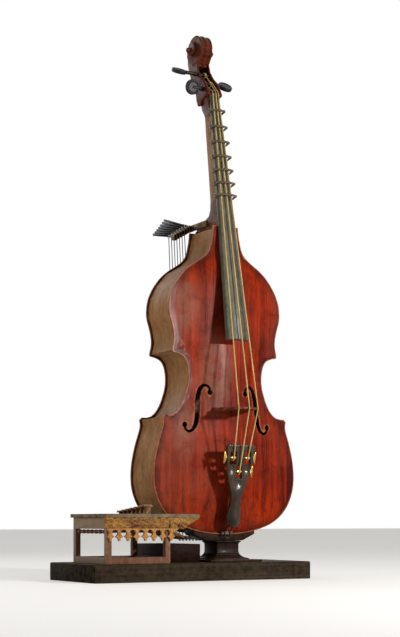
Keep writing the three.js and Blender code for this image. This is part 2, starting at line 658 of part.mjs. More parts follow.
const hollowHalf = PEGBOX.half - PEGBOX.cheek;
const hollow = prismX([
  [nutBrow[0] - OVERRUN, nutBrow[1] + PEGBOX.lip], [nutHeel[0] + PEGBOX.well, nutHeel[1] + PEGBOX.wellRise],
  ...pegboxPlaces(HOLLOW_SHARES),
], -hollowHalf, hollowHalf);

function voluteAt(angle) {
  const found = VOLUTE_SHARES.findIndex((row) => row[0] > angle);
  const k = (found < 0 ? VOLUTE_SHARES.length : found) - 1 - (found < 0 ? 1 : 0);
  const [from, radiusFrom, halfFrom] = VOLUTE_SHARES[k];
  const [to, radiusTo, halfTo] = VOLUTE_SHARES[k + 1];
  const share = (angle - from) / (to - from);
  return [SCROLL.radius * lerp(radiusFrom, radiusTo, share), SCROLL.half * lerp(halfFrom, halfTo, share)];
}

// Wedges about the scroll's axis, growing wider as the turn tightens
const firstTurn = VOLUTE_SHARES[0][0];
const lastTurn = VOLUTE_SHARES[VOLUTE_SHARES.length - 1][0];
const wedges = [];
for (let angle = firstTurn; angle < lastTurn; angle += SCROLL.step) {
  const points = [angle, Math.min(angle + SCROLL.step + SCROLL.lap, lastTurn)].flatMap((at) => {
    const [radius, half] = voluteAt(at);
    const turn = THREE.MathUtils.degToRad(at);
    const y = SCROLL.y + radius * Math.cos(turn);
    const z = SCROLL.z + radius * Math.sin(turn);
    return [-half, half].flatMap((x) => [[x, SCROLL.y, SCROLL.z], [x, y, z]]);
  });
  wedges.push(hull(points));
}
const eyeHalf = SCROLL.half + SCROLL.eyeReach;
const eyes = barX(-eyeHalf, eyeHalf, SCROLL.y, SCROLL.z, SCROLL.eye, SCROLL.eyeSides);
const pegBores = PEGS.map((peg) => barX(
  -PEGBOX.half - OVERRUN, PEGBOX.half + OVERRUN, peg.y, peg.z, boreRadius(PEG.shaft, PEG.sides), PEG.sides,
));
const openBox = cut(join(chin, meet(pegboxSide, pegboxFront)), hollow);
addMesh(instrument, 'scroll_head', cut(join(openBox, ...wedges, eyes), ...pegBores), 0x7a4630, 0.5);

PEGS.forEach((peg, i) => {
  const collar = PEG.seat + GAP;
  const shaft = turned([
    [0, -peg.inner], [PEG.shaft, -peg.inner], [PEG.shaft, collar], [PEG.collar, collar],
    [PEG.collar, collar + PEG.collarLong], [PEG.neck, collar + 2 * PEG.collarLong],
    [PEG.neck, peg.head], [0, peg.head],
  ], PEG.sides).rotateY((peg.side * Math.PI) / 2);
  const half = PEG.discThick / 2;
  const head = turned([
    [0, PEG.dish - half], [PEG.bowl, PEG.dish - half], [PEG.disc - PEG.rim, -half],
    [PEG.disc, PEG.rim - half], [PEG.disc, half - PEG.rim],
    [PEG.disc - PEG.rim, half], [PEG.bowl, half - PEG.dish], [0, half - PEG.dish],
  ], PEG.sides).rotateX(THREE.MathUtils.degToRad(peg.tilt)).translate(peg.side * peg.head, 0, 0);
  addMesh(instrument, `peg_${i + 1}`, join(shaft, head).translate(0, peg.y, peg.z), 0x1c1a19, 0.4);
});

// Crowned section of the fingerboard or nut
function crown(half, round, top, back, z) {
  const ring = Array.from({ length: BOARD.steps + 1 }, (_, k) => {
    const x = lerp(-half, half, k / BOARD.steps);
    return [x, top + round - Math.sqrt(round * round - x * x), z];
  });
  return [...ring, [half, back, z], [-half, back, z]];
}

function boardShare(along) {
  return (along - BOARD.low) / (BOARD.high - BOARD.low);
}

function boardHalf(along) {
  return lerp(BOARD.halfLow, BOARD.halfHigh, boardShare(along));
}

function boardEdge(along) {
  const half = boardHalf(along);
  const round = lerp(BOARD.roundLow, BOARD.roundHigh, boardShare(along));
  return lerp(BOARD.crownLow, BOARD.crownHigh, boardShare(along)) + round
    - Math.sqrt(round * round - half * half);
}

// Stops stand at the semitones above the open string
const stopPlaces = Array.from({ length: STOP.count }, (_, k) => {
  const along = STRING.length * Math.pow(2, -(k + 1) / 12) + STOP.behind;
  return { along, x: -boardHalf(along) - STOP.side, y: boardEdge(along) + STOP.sink };
});
const lugs = stopPlaces.flatMap(({ along, x, y }) => {
  const low = along + STOP.pinFree;
  return [
    block(x - STOP.lugHalf, STOP.lugRoot - boardHalf(along), y - STOP.lugHalf, y + STOP.lugHalf,
      low, low + STOP.lug),
    rod([x, y, along - STOP.pinFree], [x, y, low + STOP.lugHalf], STOP.pin, STOP.pinSides),
  ];
});
const board = loft([
  crown(BOARD.halfLow, BOARD.roundLow, BOARD.crownLow, BOARD.backLow, BOARD.low),
  crown(BOARD.halfHigh, BOARD.roundHigh, BOARD.crownHigh, BOARD.backHigh, BOARD.high),
]);
addMesh(neckFrame, 'fingerboard', join(board, ...lugs), 0x2a2624, 0.4);
addMesh(neckFrame, 'nut', loft([NUT.low, NUT.high].map(
  (z) => crown(NUT.half, NUT.round, NUT.crown, BOARD.backHigh, z),
)), 0x2c2826, 0.4);

// Place of a string at a distance from the bridge, in the leaning frame
function stringAt(side, along) {
  const share = along / STRING.length;
  return [
    side * lerp(STRING.spreadLow, STRING.spreadHigh, share),
    Math.abs(side) * lerp(STRING.dropLow, STRING.dropHigh, share),
    along,
  ];
}

// Stop bar: it meets all three strings when it has turned, and its horn hangs past the board
stopPlaces.forEach(({ along, x, y }, i) => {
  const pin = new THREE.Vector2(x, y);
  const over = STRING_SIDE.map((side) => {
    const [stringX, stringY] = stringAt(side, along);
    const pressed = new THREE.Vector2(stringX, stringY - STRING.radius - STOP.half - STOP.clear);
    return [...pressed.rotateAround(pin, -STOP.turn).toArray(), STOP.half];
  });
  const right = boardHalf(along) + STOP.reach;
  const edge = boardEdge(along);
  const knots = [
    [x, y, STOP.half], [x, over[0][1] + STOP.half, STOP.half], ...over,
    [right, over[2][1] + STOP.half, STOP.half], [right, edge + STOP.horn, STOP.hornHalf],
  ];
  const low = along - STOP.wide / 2;
  const hubHalf = STOP.hubLong / 2;
  const hub = rod([x, y, along - hubHalf], [x, y, along + hubHalf], STOP.hub, STOP.pinSides);
  const pinBore = rod(
    [x, y, along - OVERRUN], [x, y, along + OVERRUN], boreRadius(STOP.pin, STOP.pinSides), STOP.pinSides,
  );
  addMesh(neckFrame, `stop_${i + 1}`, cut(join(prismZ(strip(knots), low, low + STOP.wide), hub), pinBore),
    0x2b221c, 0.4);
});

// Bridge: a cut-out plate across the body, thick at the feet and thin at the crown
const bridgeTop = STRING.forward - STRING.radius - BRIDGE.seat;
const bridgePlace = (shares) => shares.map(([x, up]) => [x * BRIDGE.half, -up * bridgeTop]);
const bridgeRight = bridgePlace(BRIDGE_SHARES);
const heartRight = bridgePlace(HEART_SHARES);
const bridgeFace = [[0, -bridgeTop], ...bridgeRight, ...mirrored(bridgeRight).reverse()];
const heart = [...heartRight, ...mirrored(heartRight.slice(1)).reverse()];
const kidney = bridgePlace(KIDNEY_SHARES);
const thick = BRIDGE.thickLow;
const wedge = prismX([
  [0, -thick / 2], [0, thick / 2],
  [-STRING.forward, BRIDGE.thickHigh / 2], [-STRING.forward, -BRIDGE.thickHigh / 2],
], -FAR, FAR).translate(0, 0, STRING.up);
const underFeet = arched((arch) => -BODY.arch * arch - GAP, () => FAR);
const upright = (points) => prismZ(points, STRING.up - thick, STRING.up + thick);
const bridge = cut(upright(bridgeFace), upright(heart), upright(kidney), upright(mirrored(kidney)));
addMesh(instrument, 'bridge', cut(meet(bridge, wedge), underFeet), 0x9c6b3c, 0.5);

// Tailpiece in its tilted frame: z along it, y behind its front face
const tailEdge = spread(TAIL_SHARES, 0, TAIL.half, 0, TAIL.length);
const tailRight = [...smooth(tailEdge, TAIL.steps), [TAIL.half * TAIL_SHOULDER_SHARE, TAIL.length]];
const tailFace = [...tailRight, ...mirrored(tailRight.slice(1)).reverse()];
const middleY = TAIL.thick / 2;
const tailCuts = ROLLERS.flatMap(({ x, up, side }) => [
  block(x - OPENING.half, x + OPENING.half, -OVERRUN, OVERRUN + TAIL.thick,
    up - OPENING.below, up + OPENING.above),
  barX(x - side * (ROLLER.seat + GAP), side * (TAIL.half + OVERRUN), middleY, up,
    boreRadius(ROLLER.shaft, ROLLER.sides), ROLLER.sides),
]);
addMesh(tailFrame, 'tailpiece', cut(prismY(tailFace, 0, TAIL.thick), ...tailCuts), 0x241f1d, 0.4);

function tailHalfAt(up) {
  const k = tailEdge.findIndex((row) => row[1] >= up);
  const [xa, za] = tailEdge[k - 1];
  const [xb, zb] = tailEdge[k];
  return lerp(xa, xb, (up - za) / (zb - za));
}

// Rollers with their shafts and winged keys
ROLLERS.forEach(({ x, up, side }, i) => {
  const edge = tailHalfAt(up + KEY.hub) + KEY.clear;
  const leaf = (at, half, high) => block(
    side * at - KEY.thick / 2, side * at + KEY.thick / 2, middleY - half, middleY + half,
    up - high, up + high,
  );
  const wing = hull([
    ...cornersOf(leaf(edge + KEY.stand, KEY.rootThick / 2, KEY.rootHigh)),
    ...cornersOf(leaf(edge + KEY.reach, KEY.thick / 2, KEY.high)),
  ]);
  addMesh(tailFrame, `tail_tuner_${i + 1}`, join(
    barX(x - side * ROLLER.seat, side * (edge + KEY.stand), middleY, up, ROLLER.shaft, ROLLER.sides),
    barX(x - ROLLER.half, x + ROLLER.half, middleY, up, ROLLER.radius, ROLLER.sides),
    barX(side * edge, side * (edge + KEY.boss), middleY, up, KEY.hub, ROLLER.sides),
    wing,
  ), 0xb08d4a, 0.35, 0.9);
});

// From the tilted frame of the tailpiece to the instrument frame
function fromTail(x, y, z) {
  return [
    x,
    -TAIL.forward + y * Math.cos(TAIL.tilt) - z * Math.sin(TAIL.tilt),
    TAIL.up + y * Math.sin(TAIL.tilt) + z * Math.cos(TAIL.tilt),
  ];
}

function neckPoint([x, behind, along]) {
  return [x, ...fromNeck(along, behind)];
}

// Turns about an axis along X: angles in degrees in the (y, z) plane
function turns([x, y, z], radius, from, to, steps, drift) {
  return Array.from({ length: steps + 1 }, (_, k) => {
    const turn = THREE.MathUtils.degToRad(lerp(from, to, k / steps));
    return [x + drift * (k / steps), y + radius * Math.cos(turn), z + radius * Math.sin(turn)];
  });
}

// Strings: half round the tail roller, over bridge and nut, one and a half turns round the peg
STRING_SIDE.forEach((side, i) => {
  const roller = ROLLERS[i];
  const peg = PEGS[i];
  const overNut = neckPoint(stringAt(side, NUT.high + STRING.radius));
  const lean = THREE.MathUtils.radToDeg(Math.atan2(peg.y - overNut[1], peg.z - overNut[2]));
  const meets = WRAP.meets - lean;
  const path = [
    ...turns(fromTail(roller.x, middleY, roller.up), ROLLER.radius + STRING.radius + WRAP.gap,
      WRAP.rollerFrom, WRAP.rollerTo, WRAP.rollerSteps, 0),
    neckPoint(stringAt(side, 0)),
    neckPoint(stringAt(side, NUT.low)),
    overNut,
    ...turns([overNut[0], peg.y, peg.z], PEG.shaft + STRING.radius + WRAP.gap, meets, meets - WRAP.turn,
      WRAP.steps, (side === 0 ? 1 : -side) * WRAP.pitch),
  ];
  addMesh(instrument, `string_${i + 1}`, cord(path, STRING.radius, STRING.sides), 0xd9c9a2, 0.5);
});

// Tail gut over the saddle on the lower edge of the belly
const saddle = block(-SADDLE.half, SADDLE.half, -SADDLE.deep, 0, SADDLE.low, SADDLE.high);
addMesh(instrument, 'saddle', cut(saddle, underFeet), 0x1d1a18, 0.4);
const gutBehind = TAIL.thick + GUT.radius + GAP;
const gutSaddle = -SADDLE.deep - GUT.radius - GAP;
const gutRight = [
  fromTail(GUT.half, gutBehind, GUT.high), fromTail(GUT.half, gutBehind, GUT.low),
  ...GUT_TURN.map(([inward, behind, z]) => [GUT.half - inward, gutSaddle + behind, z]),
];
const gutLeft = [...gutRight].reverse().map(([x, y, z]) => [-x, y, z]);
addMesh(instrument, 'tail_gut', cord([...gutRight, ...gutLeft], GUT.radius, GUT.sides), 0x3a2f28, 0.6);

// Lever bracket: arm on the heel, stepped blocks, cheeks and pins
const pivots = Array.from({ length: STOP.count }, (_, i) => ({
  x: LEVER.firstX + LEVER.pitch * i,
  z: LEVER.firstZ + LEVER.climb * i,
  angle: THREE.MathUtils.degToRad(LEVER.angle + LEVER.fan * i),
  length: LEVER.length + LEVER.growth * i,
}));
const halfPitch = LEVER.pitch / 2;
const halfCheek = BRACKET.cheek / 2;
const cheekAt = (x, low, high) => block(
  x - halfCheek, x + halfCheek, LEVER.y - BRACKET.cheekHalf, LEVER.y + BRACKET.cheekHalf, low, high,
);
const bracketParts = pivots.flatMap(({ x, z }, i) => {
  const lower = pivots[Math.max(i - 1, 0)].z;
  return [
    block(x - halfPitch, x + halfPitch, LEVER.y - BRACKET.stepHalf, LEVER.y + BRACKET.stepHalf,
      z - BRACKET.stepLow, z - BRACKET.stepTop),
    barX(x - halfPitch, x + halfPitch, LEVER.y, z, LEVER.pin, LEVER.sides),
    cheekAt(x - halfPitch, lower - BRACKET.stepLow, z + BRACKET.cheekTop),
  ];
});
const lastPivot = pivots[pivots.length - 1];
addMesh(instrument, 'lever_bracket', join(
  block(BRACKET.armLeft, BRACKET.armRight, BRACKET.armFront, BRACKET.armBack,
    BRACKET.armLow, BRACKET.armHigh),
  cheekAt(lastPivot.x + halfPitch, lastPivot.z - BRACKET.stepLow, lastPivot.z + BRACKET.cheekTop),
  block(lastPivot.x, BRACKET.armLeft + BRACKET.cheek, LEVER.y - BRACKET.stepHalf, LEVER.y + BRACKET.stepHalf,
    lastPivot.z - BRACKET.stepLow, lastPivot.z - BRACKET.stepTop),
  ...bracketParts,
), 0x3a2c1e, 0.5);

// Levers: hub, flat bar with an eye, round grip
pivots.forEach(({ x, z, angle, length }, i) => {
  const hubHalf = halfPitch - halfCheek - LEVER.play;
  const barEnd = LEVER.eyeArm + LEVER.eye + LEVER.hub;
  const bar = prismX([
    [0, -LEVER.barHalf], [barEnd, -LEVER.barHalf], [LEVER.gripStart + LEVER.gripEase, -LEVER.shankHalf],
    [LEVER.gripStart + LEVER.gripEase, LEVER.shankHalf], [barEnd, LEVER.barHalf], [0, LEVER.barHalf],
  ], -LEVER.flat / 2, LEVER.flat / 2);
  const grip = turned([
    [0, LEVER.gripStart], [LEVER.gripRoot, LEVER.gripStart], [LEVER.grip, LEVER.gripStart + LEVER.gripEase],
    [LEVER.grip, length - LEVER.gripEase], [LEVER.gripRoot, length], [0, length],
  ], LEVER.gripSides).rotateX(-Math.PI / 2);
  const hub = barX(-hubHalf, hubHalf, 0, 0, LEVER.hub, LEVER.sides);
  const pinBore = barX(-OVERRUN, OVERRUN, 0, 0, boreRadius(LEVER.pin, LEVER.sides), LEVER.sides);
  const eye = barX(-OVERRUN, OVERRUN, LEVER.eyeArm, 0, boreRadius(LEVER.eye, LEVER.eyeSides), LEVER.eyeSides);
  const lever = cut(join(hub, bar, grip), pinBore, eye).rotateX(angle).translate(x, LEVER.y, z);
  addMesh(instrument, `lever_${i + 1}`, lever, 0x1b1b1c, 0.35);
});

// Ends of the pull wires, in the stand's frame
function wireFoot(i) {
  return [WIRE_FOOT.firstX + WIRE_FOOT.pitch * i, WIRE_FOOT.firstY + WIRE_FOOT.stepY * i, WIRE_FOOT.z];
}

// Wires: a ring through each lever's eye, a long run behind the back, a collar under the pedal's end
pivots.forEach(({ x, z, angle }, i) => {
  const ringY = LEVER.y + (LEVER.eyeArm * (1 + Math.cos(angle))) / 2;
  const ringZ = z + LEVER.eyeArm * Math.sin(angle) - WIRE.drop - WIRE.link;
  const link = new THREE.TorusGeometry(WIRE.link, WIRE.linkWire, WIRE.linkSides, WIRE.linkSteps)
    .rotateX(Math.PI / 2).translate(x, ringY, ringZ);
  const [footX, footY, footZ] = wireFoot(i);
  const foot = new THREE.Vector3(footX - BODY.x, footY - BODY.y, footZ - BODY.z);
  const top = new THREE.Vector3(x, ringY, ringZ - WIRE.link);
  const way = top.clone().sub(foot).normalize();
  const length = top.distanceTo(foot);
  const at = (distance) => foot.clone().addScaledVector(way, distance).toArray();
  const under = -PEDAL.slatHigh / 2 - WIRE.under;
  addMesh(instrument, `wire_${i + 1}`, join(
    link,
    rod(at(under - WIRE.collarLong - WIRE.tail), at(length), WIRE.radius, WIRE.sides),
    rod(at(under - WIRE.collarLong), at(under), WIRE.collar, PEDAL.eyeSides),
  ), 0x8b8b88, 0.35, 0.8);
});

// Plinth with a small chamfer round its top
const halfX = PLINTH.width / 2;
const halfY = PLINTH.depth / 2;
const level = (inset, z) => [[-1, -1], [1, -1], [1, 1], [-1, 1]].map(
  ([x, y]) => [x * (halfX - inset), y * (halfY - inset), z],
);
addMesh(stand, 'plinth', loft([
  level(0, 0), level(0, PLINTH.height - PLINTH.chamfer), level(PLINTH.chamfer, PLINTH.height),
]), 0x2a2420, 0.55);

// Pedestal: square foot, flared square column, ledged cap
const floor = PLINTH.height + GAP;
const footTop = floor + PEDESTAL.footHigh;
const square = (half, z) => [[-1, -1], [1, -1], [1, 1], [-1, 1]].map(
  ([x, y]) => [BODY.x + x * half, PEDESTAL.y + y * half, z],
);
const columnProfile = spread(COLUMN_SHARES, 0, PEDESTAL.ledge, footTop, PEDESTAL.top);
const column = loft([
  square(columnProfile[0][0], footTop - PEDESTAL.sink), ...columnProfile.map(([half, z]) => square(half, z)),
]);
addMesh(stand, 'pedestal', join(column, block(
  BODY.x - PEDESTAL.foot, BODY.x + PEDESTAL.foot, PEDESTAL.y - PEDESTAL.foot, PEDESTAL.y + PEDESTAL.foot,
  floor, footTop,
)), 0x1e1a18, 0.4);

// Cradle: rises from the cap and follows the bottom of the ribs
const cradleRight = [
  [CRADLE.foot, CRADLE.low], [CRADLE.waist, CRADLE.waistZ],
  [CRADLE.half, CRADLE.edge], [CRADLE.half, CRADLE.high],
];
const cradleFace = prismY([...cradleRight, ...mirrored(cradleRight).reverse()], CRADLE.front, CRADLE.back);
addMesh(instrument, 'cradle', cut(cradleFace, ribPrism(RIBS.overhang - GAP, 0, BODY.depth)), 0x151312, 0.4);

// Platform frame: posts, rails, the pedal axle
const { left, right, front, back, post, rail, deck } = PLATFORM;
const frameRing = (low, high) => cut(
  block(left, right, front, back, low, high),
  block(left + rail, right - rail, front + rail, back - rail, low - OVERRUN, high + OVERRUN),
);
const posts = [left, right - post].flatMap((x) => [front, back - post].map(
  (y) => block(x, x + post, y, y + post, floor, deck),
));
addMesh(stand, 'platform_frame', join(
  frameRing(floor, PLATFORM.railTop), frameRing(PLATFORM.railLow, deck), ...posts,
  rod([PEDAL.axleX, front + PEDAL.axleInset, PEDAL.axleZ], [PEDAL.axleX, back - PEDAL.axleInset, PEDAL.axleZ],
    PEDAL.axle, PEDAL.sides),
), 0x6e4a38, 0.6);

// Platform top with a slot for each pedal head, and the front strip that runs on to the right
const slabLow = deck + GAP;
const slabHigh = slabLow + PLATFORM.slab;
const pedalRows = Array.from({ length: STOP.count }, (_, i) => ({
  y: PEDAL.firstY + PEDAL.pitch * i, top: PEDAL.firstTop + PEDAL.topStep * i,
}));
const slots = pedalRows.map(({ y }) => block(
  PEDAL.headX - PEDAL.headLong / 2 - PEDAL.slotFront, PEDAL.headX + PEDAL.headLong / 2 + PEDAL.slotBack,
  y - PEDAL.headWide / 2 - PEDAL.slotSide, y + PEDAL.headWide / 2 + PEDAL.slotSide,
  slabLow - OVERRUN, slabHigh + OVERRUN,
));
addMesh(stand, 'platform_top', cut(join(
  block(PLATFORM.slabLeft, PLATFORM.slabRight, PLATFORM.slabFront, PLATFORM.slabBack, slabLow, slabHigh),
  block(PLATFORM.slabRight - PLATFORM.stripRoot, PLATFORM.stripRight, PLATFORM.slabFront,
    PLATFORM.stripBack, slabLow, slabHigh),
), ...slots), 0x5c5044, 0.6);

// Cornice under the front edge of the slab, its bracket and volute, and the apron of pendants
const corniceBack = front - GAP;
const corniceSide = [
  [corniceBack, CORNICE.low], [corniceBack, deck], [PLATFORM.slabFront, deck],
  ...CORNICE_SHARES.map(([out, up]) => [
    lerp(corniceBack, PLATFORM.slabFront, out), lerp(CORNICE.low, deck, up),
  ]),
];
const bracketFace = spread(
  CORNICE_BRACKET_SHARES, CORNICE.bracketLeft, PLATFORM.stripRight, CORNICE.bracketLow, deck,
);
const disc = (radius, reach) => rod(
  [CORNICE_DISC.x, corniceBack, CORNICE_DISC.z], [CORNICE_DISC.x, corniceBack - reach, CORNICE_DISC.z],
  radius, CORNICE_DISC.sides,
);
const firstPendant = APRON.first - APRON.tipHalf;
const lastPendant = APRON.first + APRON.pitch * (APRON.count - 1) + APRON.tipHalf;
const between = Array.from({ length: APRON.count + 1 }, (_, i) => {
  const x = APRON.first + APRON.pitch * i;
  const middle = x - APRON.pitch / 2;
  const gapHalf = APRON.pitch / 2 - APRON.tipHalf;
  const side = [
    [gapHalf, APRON.holeZ], [gapHalf, APRON.tipZ], [APRON.pitch / 2 - APRON.flankHalf, APRON.flankZ],
    [APRON.pitch / 2, APRON.low - OVERRUN],
  ];
  return [
    prismY([...side, ...mirrored(side).reverse()].map(([dx, z]) => [middle + dx, z]),
      corniceBack - OVERRUN, corniceBack + OVERRUN),
    rod([middle, corniceBack - OVERRUN, APRON.holeZ], [middle, corniceBack + OVERRUN, APRON.holeZ],
      APRON.hole, APRON.holeSides),
  ];
}).flat();
const apron = cut(
  block(firstPendant, lastPendant, corniceBack - APRON.thick, corniceBack, APRON.low, APRON.high),
  ...between,
);
addMesh(stand, 'platform_cornice', join(
  apron, prismX(corniceSide, PLATFORM.slabLeft, CORNICE.right),
  prismY(bracketFace, corniceBack - CORNICE.thick, corniceBack),
  disc(CORNICE_DISC.radius, CORNICE_DISC.reach),
  disc(CORNICE_DISC.inner, CORNICE_DISC.reach + CORNICE_DISC.innerReach),
), 0x8a6a3c, 0.6);

// Low case under the slats, open at the top
addMesh(stand, 'pedal_case', cut(
  block(CASE.left, CASE.right, CASE.front, CASE.back, floor, CASE.high),
  block(CASE.left + CASE.wall, CASE.right - CASE.wall, CASE.front + CASE.wall, CASE.back - CASE.wall,
    floor + CASE.wall, CASE.high + OVERRUN),
), 0x4a2a22, 0.55);

// Pedals: hub on the axle, slat, stem with its cap above the platform, thin arm to the wire
pedalRows.forEach(({ y, top }, i) => {
  const [endX, endY, endZ] = wireFoot(i);
  const slatHalf = PEDAL.slatHigh / 2;
  const section = (x, middle, z, half, way) => [-1, 1].flatMap((side) => [-1, 1].map((up) => [
    x - side * half * way[1], middle + side * half * way[0], z + up * slatHalf,
  ]));
  const aim = new THREE.Vector2(endX - PEDAL.kneeX, endY - y).normalize().toArray();
  const ahead = [1, 0];
  const dipShare = (PEDAL.dipX - PEDAL.kneeX) / (endX - PEDAL.kneeX);
  const knee = section(PEDAL.kneeX, y, PEDAL.axleZ, PEDAL.thin, aim);
  const dip = section(PEDAL.dipX, lerp(y, endY, dipShare), PEDAL.dipZ, PEDAL.thin, aim);
  const end = section(endX, endY, endZ, PEDAL.thin, aim);
  const halfSlat = PEDAL.slatWide / 2;
  const halfLong = PEDAL.headLong / 2;
  const halfHead = PEDAL.headWide / 2;
  const capPart = (inset, low, high) => [
    [PEDAL.headX - PEDAL.capLong / 2 + inset, y - PEDAL.capWide / 2 + inset],
    [PEDAL.headX + PEDAL.capLong / 2 - inset, y - PEDAL.capWide / 2 + inset],
    [PEDAL.headX + PEDAL.capLong / 2 - inset, y + PEDAL.capWide / 2 - inset],
    [PEDAL.headX - PEDAL.capLong / 2 + inset, y + PEDAL.capWide / 2 - inset],
  ].flatMap(([px, py]) => [[px, py, low], [px, py, high]]);
  const cap = hull([
    ...capPart(0, top - PEDAL.capHigh, top - PEDAL.capBevel),
    ...capPart(PEDAL.capBevel, top - PEDAL.capBevel, top),
  ]);
  const body = join(
    block(PEDAL.axleX, PEDAL.taperX, y - halfSlat, y + halfSlat,
      PEDAL.axleZ - slatHalf, PEDAL.axleZ + slatHalf),
    hull([...section(PEDAL.taperX, y, PEDAL.axleZ, halfSlat, ahead), ...knee]),
    hull([...knee, ...dip]), hull([...dip, ...end]),
    rod([PEDAL.axleX, y - halfSlat, PEDAL.axleZ], [PEDAL.axleX, y + halfSlat, PEDAL.axleZ],
      PEDAL.hub, PEDAL.sides),
    block(PEDAL.headX - halfLong, PEDAL.headX + halfLong, y - halfHead, y + halfHead, PEDAL.axleZ,
      top - PEDAL.capHigh / 2),
    cap,
    rod([endX, endY, endZ - slatHalf], [endX, endY, endZ + slatHalf], PEDAL.eye, PEDAL.eyeSides),
  );
  const axleBore = rod(
    [PEDAL.axleX, y - OVERRUN, PEDAL.axleZ], [PEDAL.axleX, y + OVERRUN, PEDAL.axleZ],
    boreRadius(PEDAL.axle, PEDAL.sides), PEDAL.sides,
  );
  const eyeHole = rod(
    [endX, endY, endZ - OVERRUN], [endX, endY, endZ + OVERRUN], PEDAL.eyeHole, PEDAL.eyeSides,
  );
  addMesh(stand, `pedal_${i + 1}`, cut(body, axleBore, eyeHole), 0x5a3a28, 0.55);
});

// The origin is on the floor under the centre of everything
octobass.updateMatrixWorld(true);
const extent = new THREE.Box3().setFromObject(octobass);
octobass.position.set(-(extent.min.x + extent.max.x) / 2, -(extent.min.y + extent.max.y) / 2, -extent.min.z);

export default octobass;
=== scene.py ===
import json
import math
import bmesh
import bpy
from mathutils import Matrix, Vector, kdtree, noise


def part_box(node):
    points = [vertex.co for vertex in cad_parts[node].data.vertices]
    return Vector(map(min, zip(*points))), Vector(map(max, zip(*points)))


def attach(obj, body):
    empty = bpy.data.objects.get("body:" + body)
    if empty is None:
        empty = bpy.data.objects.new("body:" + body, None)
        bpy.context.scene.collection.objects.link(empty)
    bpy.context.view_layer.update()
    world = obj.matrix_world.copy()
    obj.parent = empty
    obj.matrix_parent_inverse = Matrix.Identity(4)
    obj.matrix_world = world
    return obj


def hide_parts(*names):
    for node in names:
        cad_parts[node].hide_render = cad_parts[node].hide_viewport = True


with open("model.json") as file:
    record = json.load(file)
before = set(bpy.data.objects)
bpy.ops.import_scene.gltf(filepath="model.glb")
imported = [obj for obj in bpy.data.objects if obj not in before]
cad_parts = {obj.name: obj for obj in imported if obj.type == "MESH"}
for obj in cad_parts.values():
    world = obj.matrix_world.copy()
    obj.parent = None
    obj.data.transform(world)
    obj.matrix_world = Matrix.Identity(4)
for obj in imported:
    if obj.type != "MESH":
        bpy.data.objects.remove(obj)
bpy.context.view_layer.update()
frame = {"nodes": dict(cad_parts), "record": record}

print("frame loaded:", len(frame["nodes"]), "nodes")

bodyOf = {node: body for body, nodes in frame["record"]["behaviour"]["bodies"].items() for node in nodes}
slotOf = {entry["node"]: entry["material_slot"] for entry in frame["record"]["subparts"]}
sevens = range(1, 8)
threes = range(1, 4)
bodyLow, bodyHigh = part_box("belly")
bodyMiddle = (bodyLow[0] + bodyHigh[0]) / 2
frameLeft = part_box("platform_frame")[0][0]


screenCurve = dict(white=255, toe=0.04, toeSlope=12.92, lift=0.055, power=2.4)


def linear(*screenColour):  # a colour as it looks on a screen, 0 to 255, made linear
    parts = []
    for part in screenColour:
        share = part / screenCurve["white"]
        if share < screenCurve["toe"]:
            parts.append(share / screenCurve["toeSlope"])
        else:
            parts.append(((share + screenCurve["lift"]) / (1 + screenCurve["lift"])) ** screenCurve["power"])
    return tuple(parts) + (1,)


# Shared surface effects, each a node group with named inputs
def newGroup(name, inputs, outputs):
    group = bpy.data.node_groups.new(name, "ShaderNodeTree")
    for label, kind, value in inputs:
        socket = group.interface.new_socket(name=label, in_out="INPUT", socket_type=kind)
        if value is not None:
            socket.default_value = value
    for label, kind in outputs:
        group.interface.new_socket(name=label, in_out="OUTPUT", socket_type=kind)
    enter = group.nodes.new("NodeGroupInput")
    leave = group.nodes.new("NodeGroupOutput")
    return group, enter, leave


def mathNode(tree, operation, first, second=None, clamp=False):
    node = tree.nodes.new("ShaderNodeMath")
    node.operation = operation
    node.use_clamp = clamp
    for socket, value in zip(node.inputs, (first, second)):
        if isinstance(value, (int, float)):
            socket.default_value = value
        elif value is not None:
            tree.links.new(value, socket)
    return node.outputs[0]


def noiseNode(tree, vector, scale, detail=4.0, roughness=0.6, distortion=0.0):
    node = tree.nodes.new("ShaderNodeTexNoise")
    node.inputs["Detail"].default_value = detail
    node.inputs["Roughness"].default_value = roughness
    node.inputs["Distortion"].default_value = distortion
    tree.links.new(vector, node.inputs["Vector"])
    if isinstance(scale, (int, float)):
        node.inputs["Scale"].default_value = scale
    else:
        tree.links.new(scale, node.inputs["Scale"])
    return node.outputs[0]


def spreadNode(tree, value, low, high, to=(0.0, 1.0)):
    node = tree.nodes.new("ShaderNodeMapRange")
    tree.links.new(value, node.inputs["Value"])
    node.inputs["From Min"].default_value = low
    node.inputs["From Max"].default_value = high
    node.inputs["To Min"].default_value = to[0]
    node.inputs["To Max"].default_value = to[1]
    return node.outputs[0]


def maskNode(tree, vector, scale, mask):  # noise with its settings, spread between a low and a high value
    return spreadNode(tree, noiseNode(tree, vector, scale, *mask["noise"]), *mask["spread"])


def mixNode(tree, factor, first, second):
    node = tree.nodes.new("ShaderNodeMix")
    node.data_type = "RGBA"
    for socket, value in zip((node.inputs[0], node.inputs[6], node.inputs[7]), (factor, first, second)):
        if isinstance(value, (int, float, tuple)):
            socket.default_value = value
        else:
            tree.links.new(value, socket)
    return node.outputs[2]


# In the masks, noise is detail, roughness and distortion
# and spread is a low value, a high value and what they become
grainMasks = {
    "lines": dict(noise=(5, 0.7, 0.3), spread=(0.3, 0.7), share=0.38),
    "figure": dict(noise=(3, 0.55, 1.2), spread=(0.32, 0.68), share=0.37),
    "clouds": dict(noise=(3, 0.5, 0.4), spread=(0.3, 0.7), share=0.25, scale=3.5),
}
grainMix = dict(middle=0.5, gain=1.7)


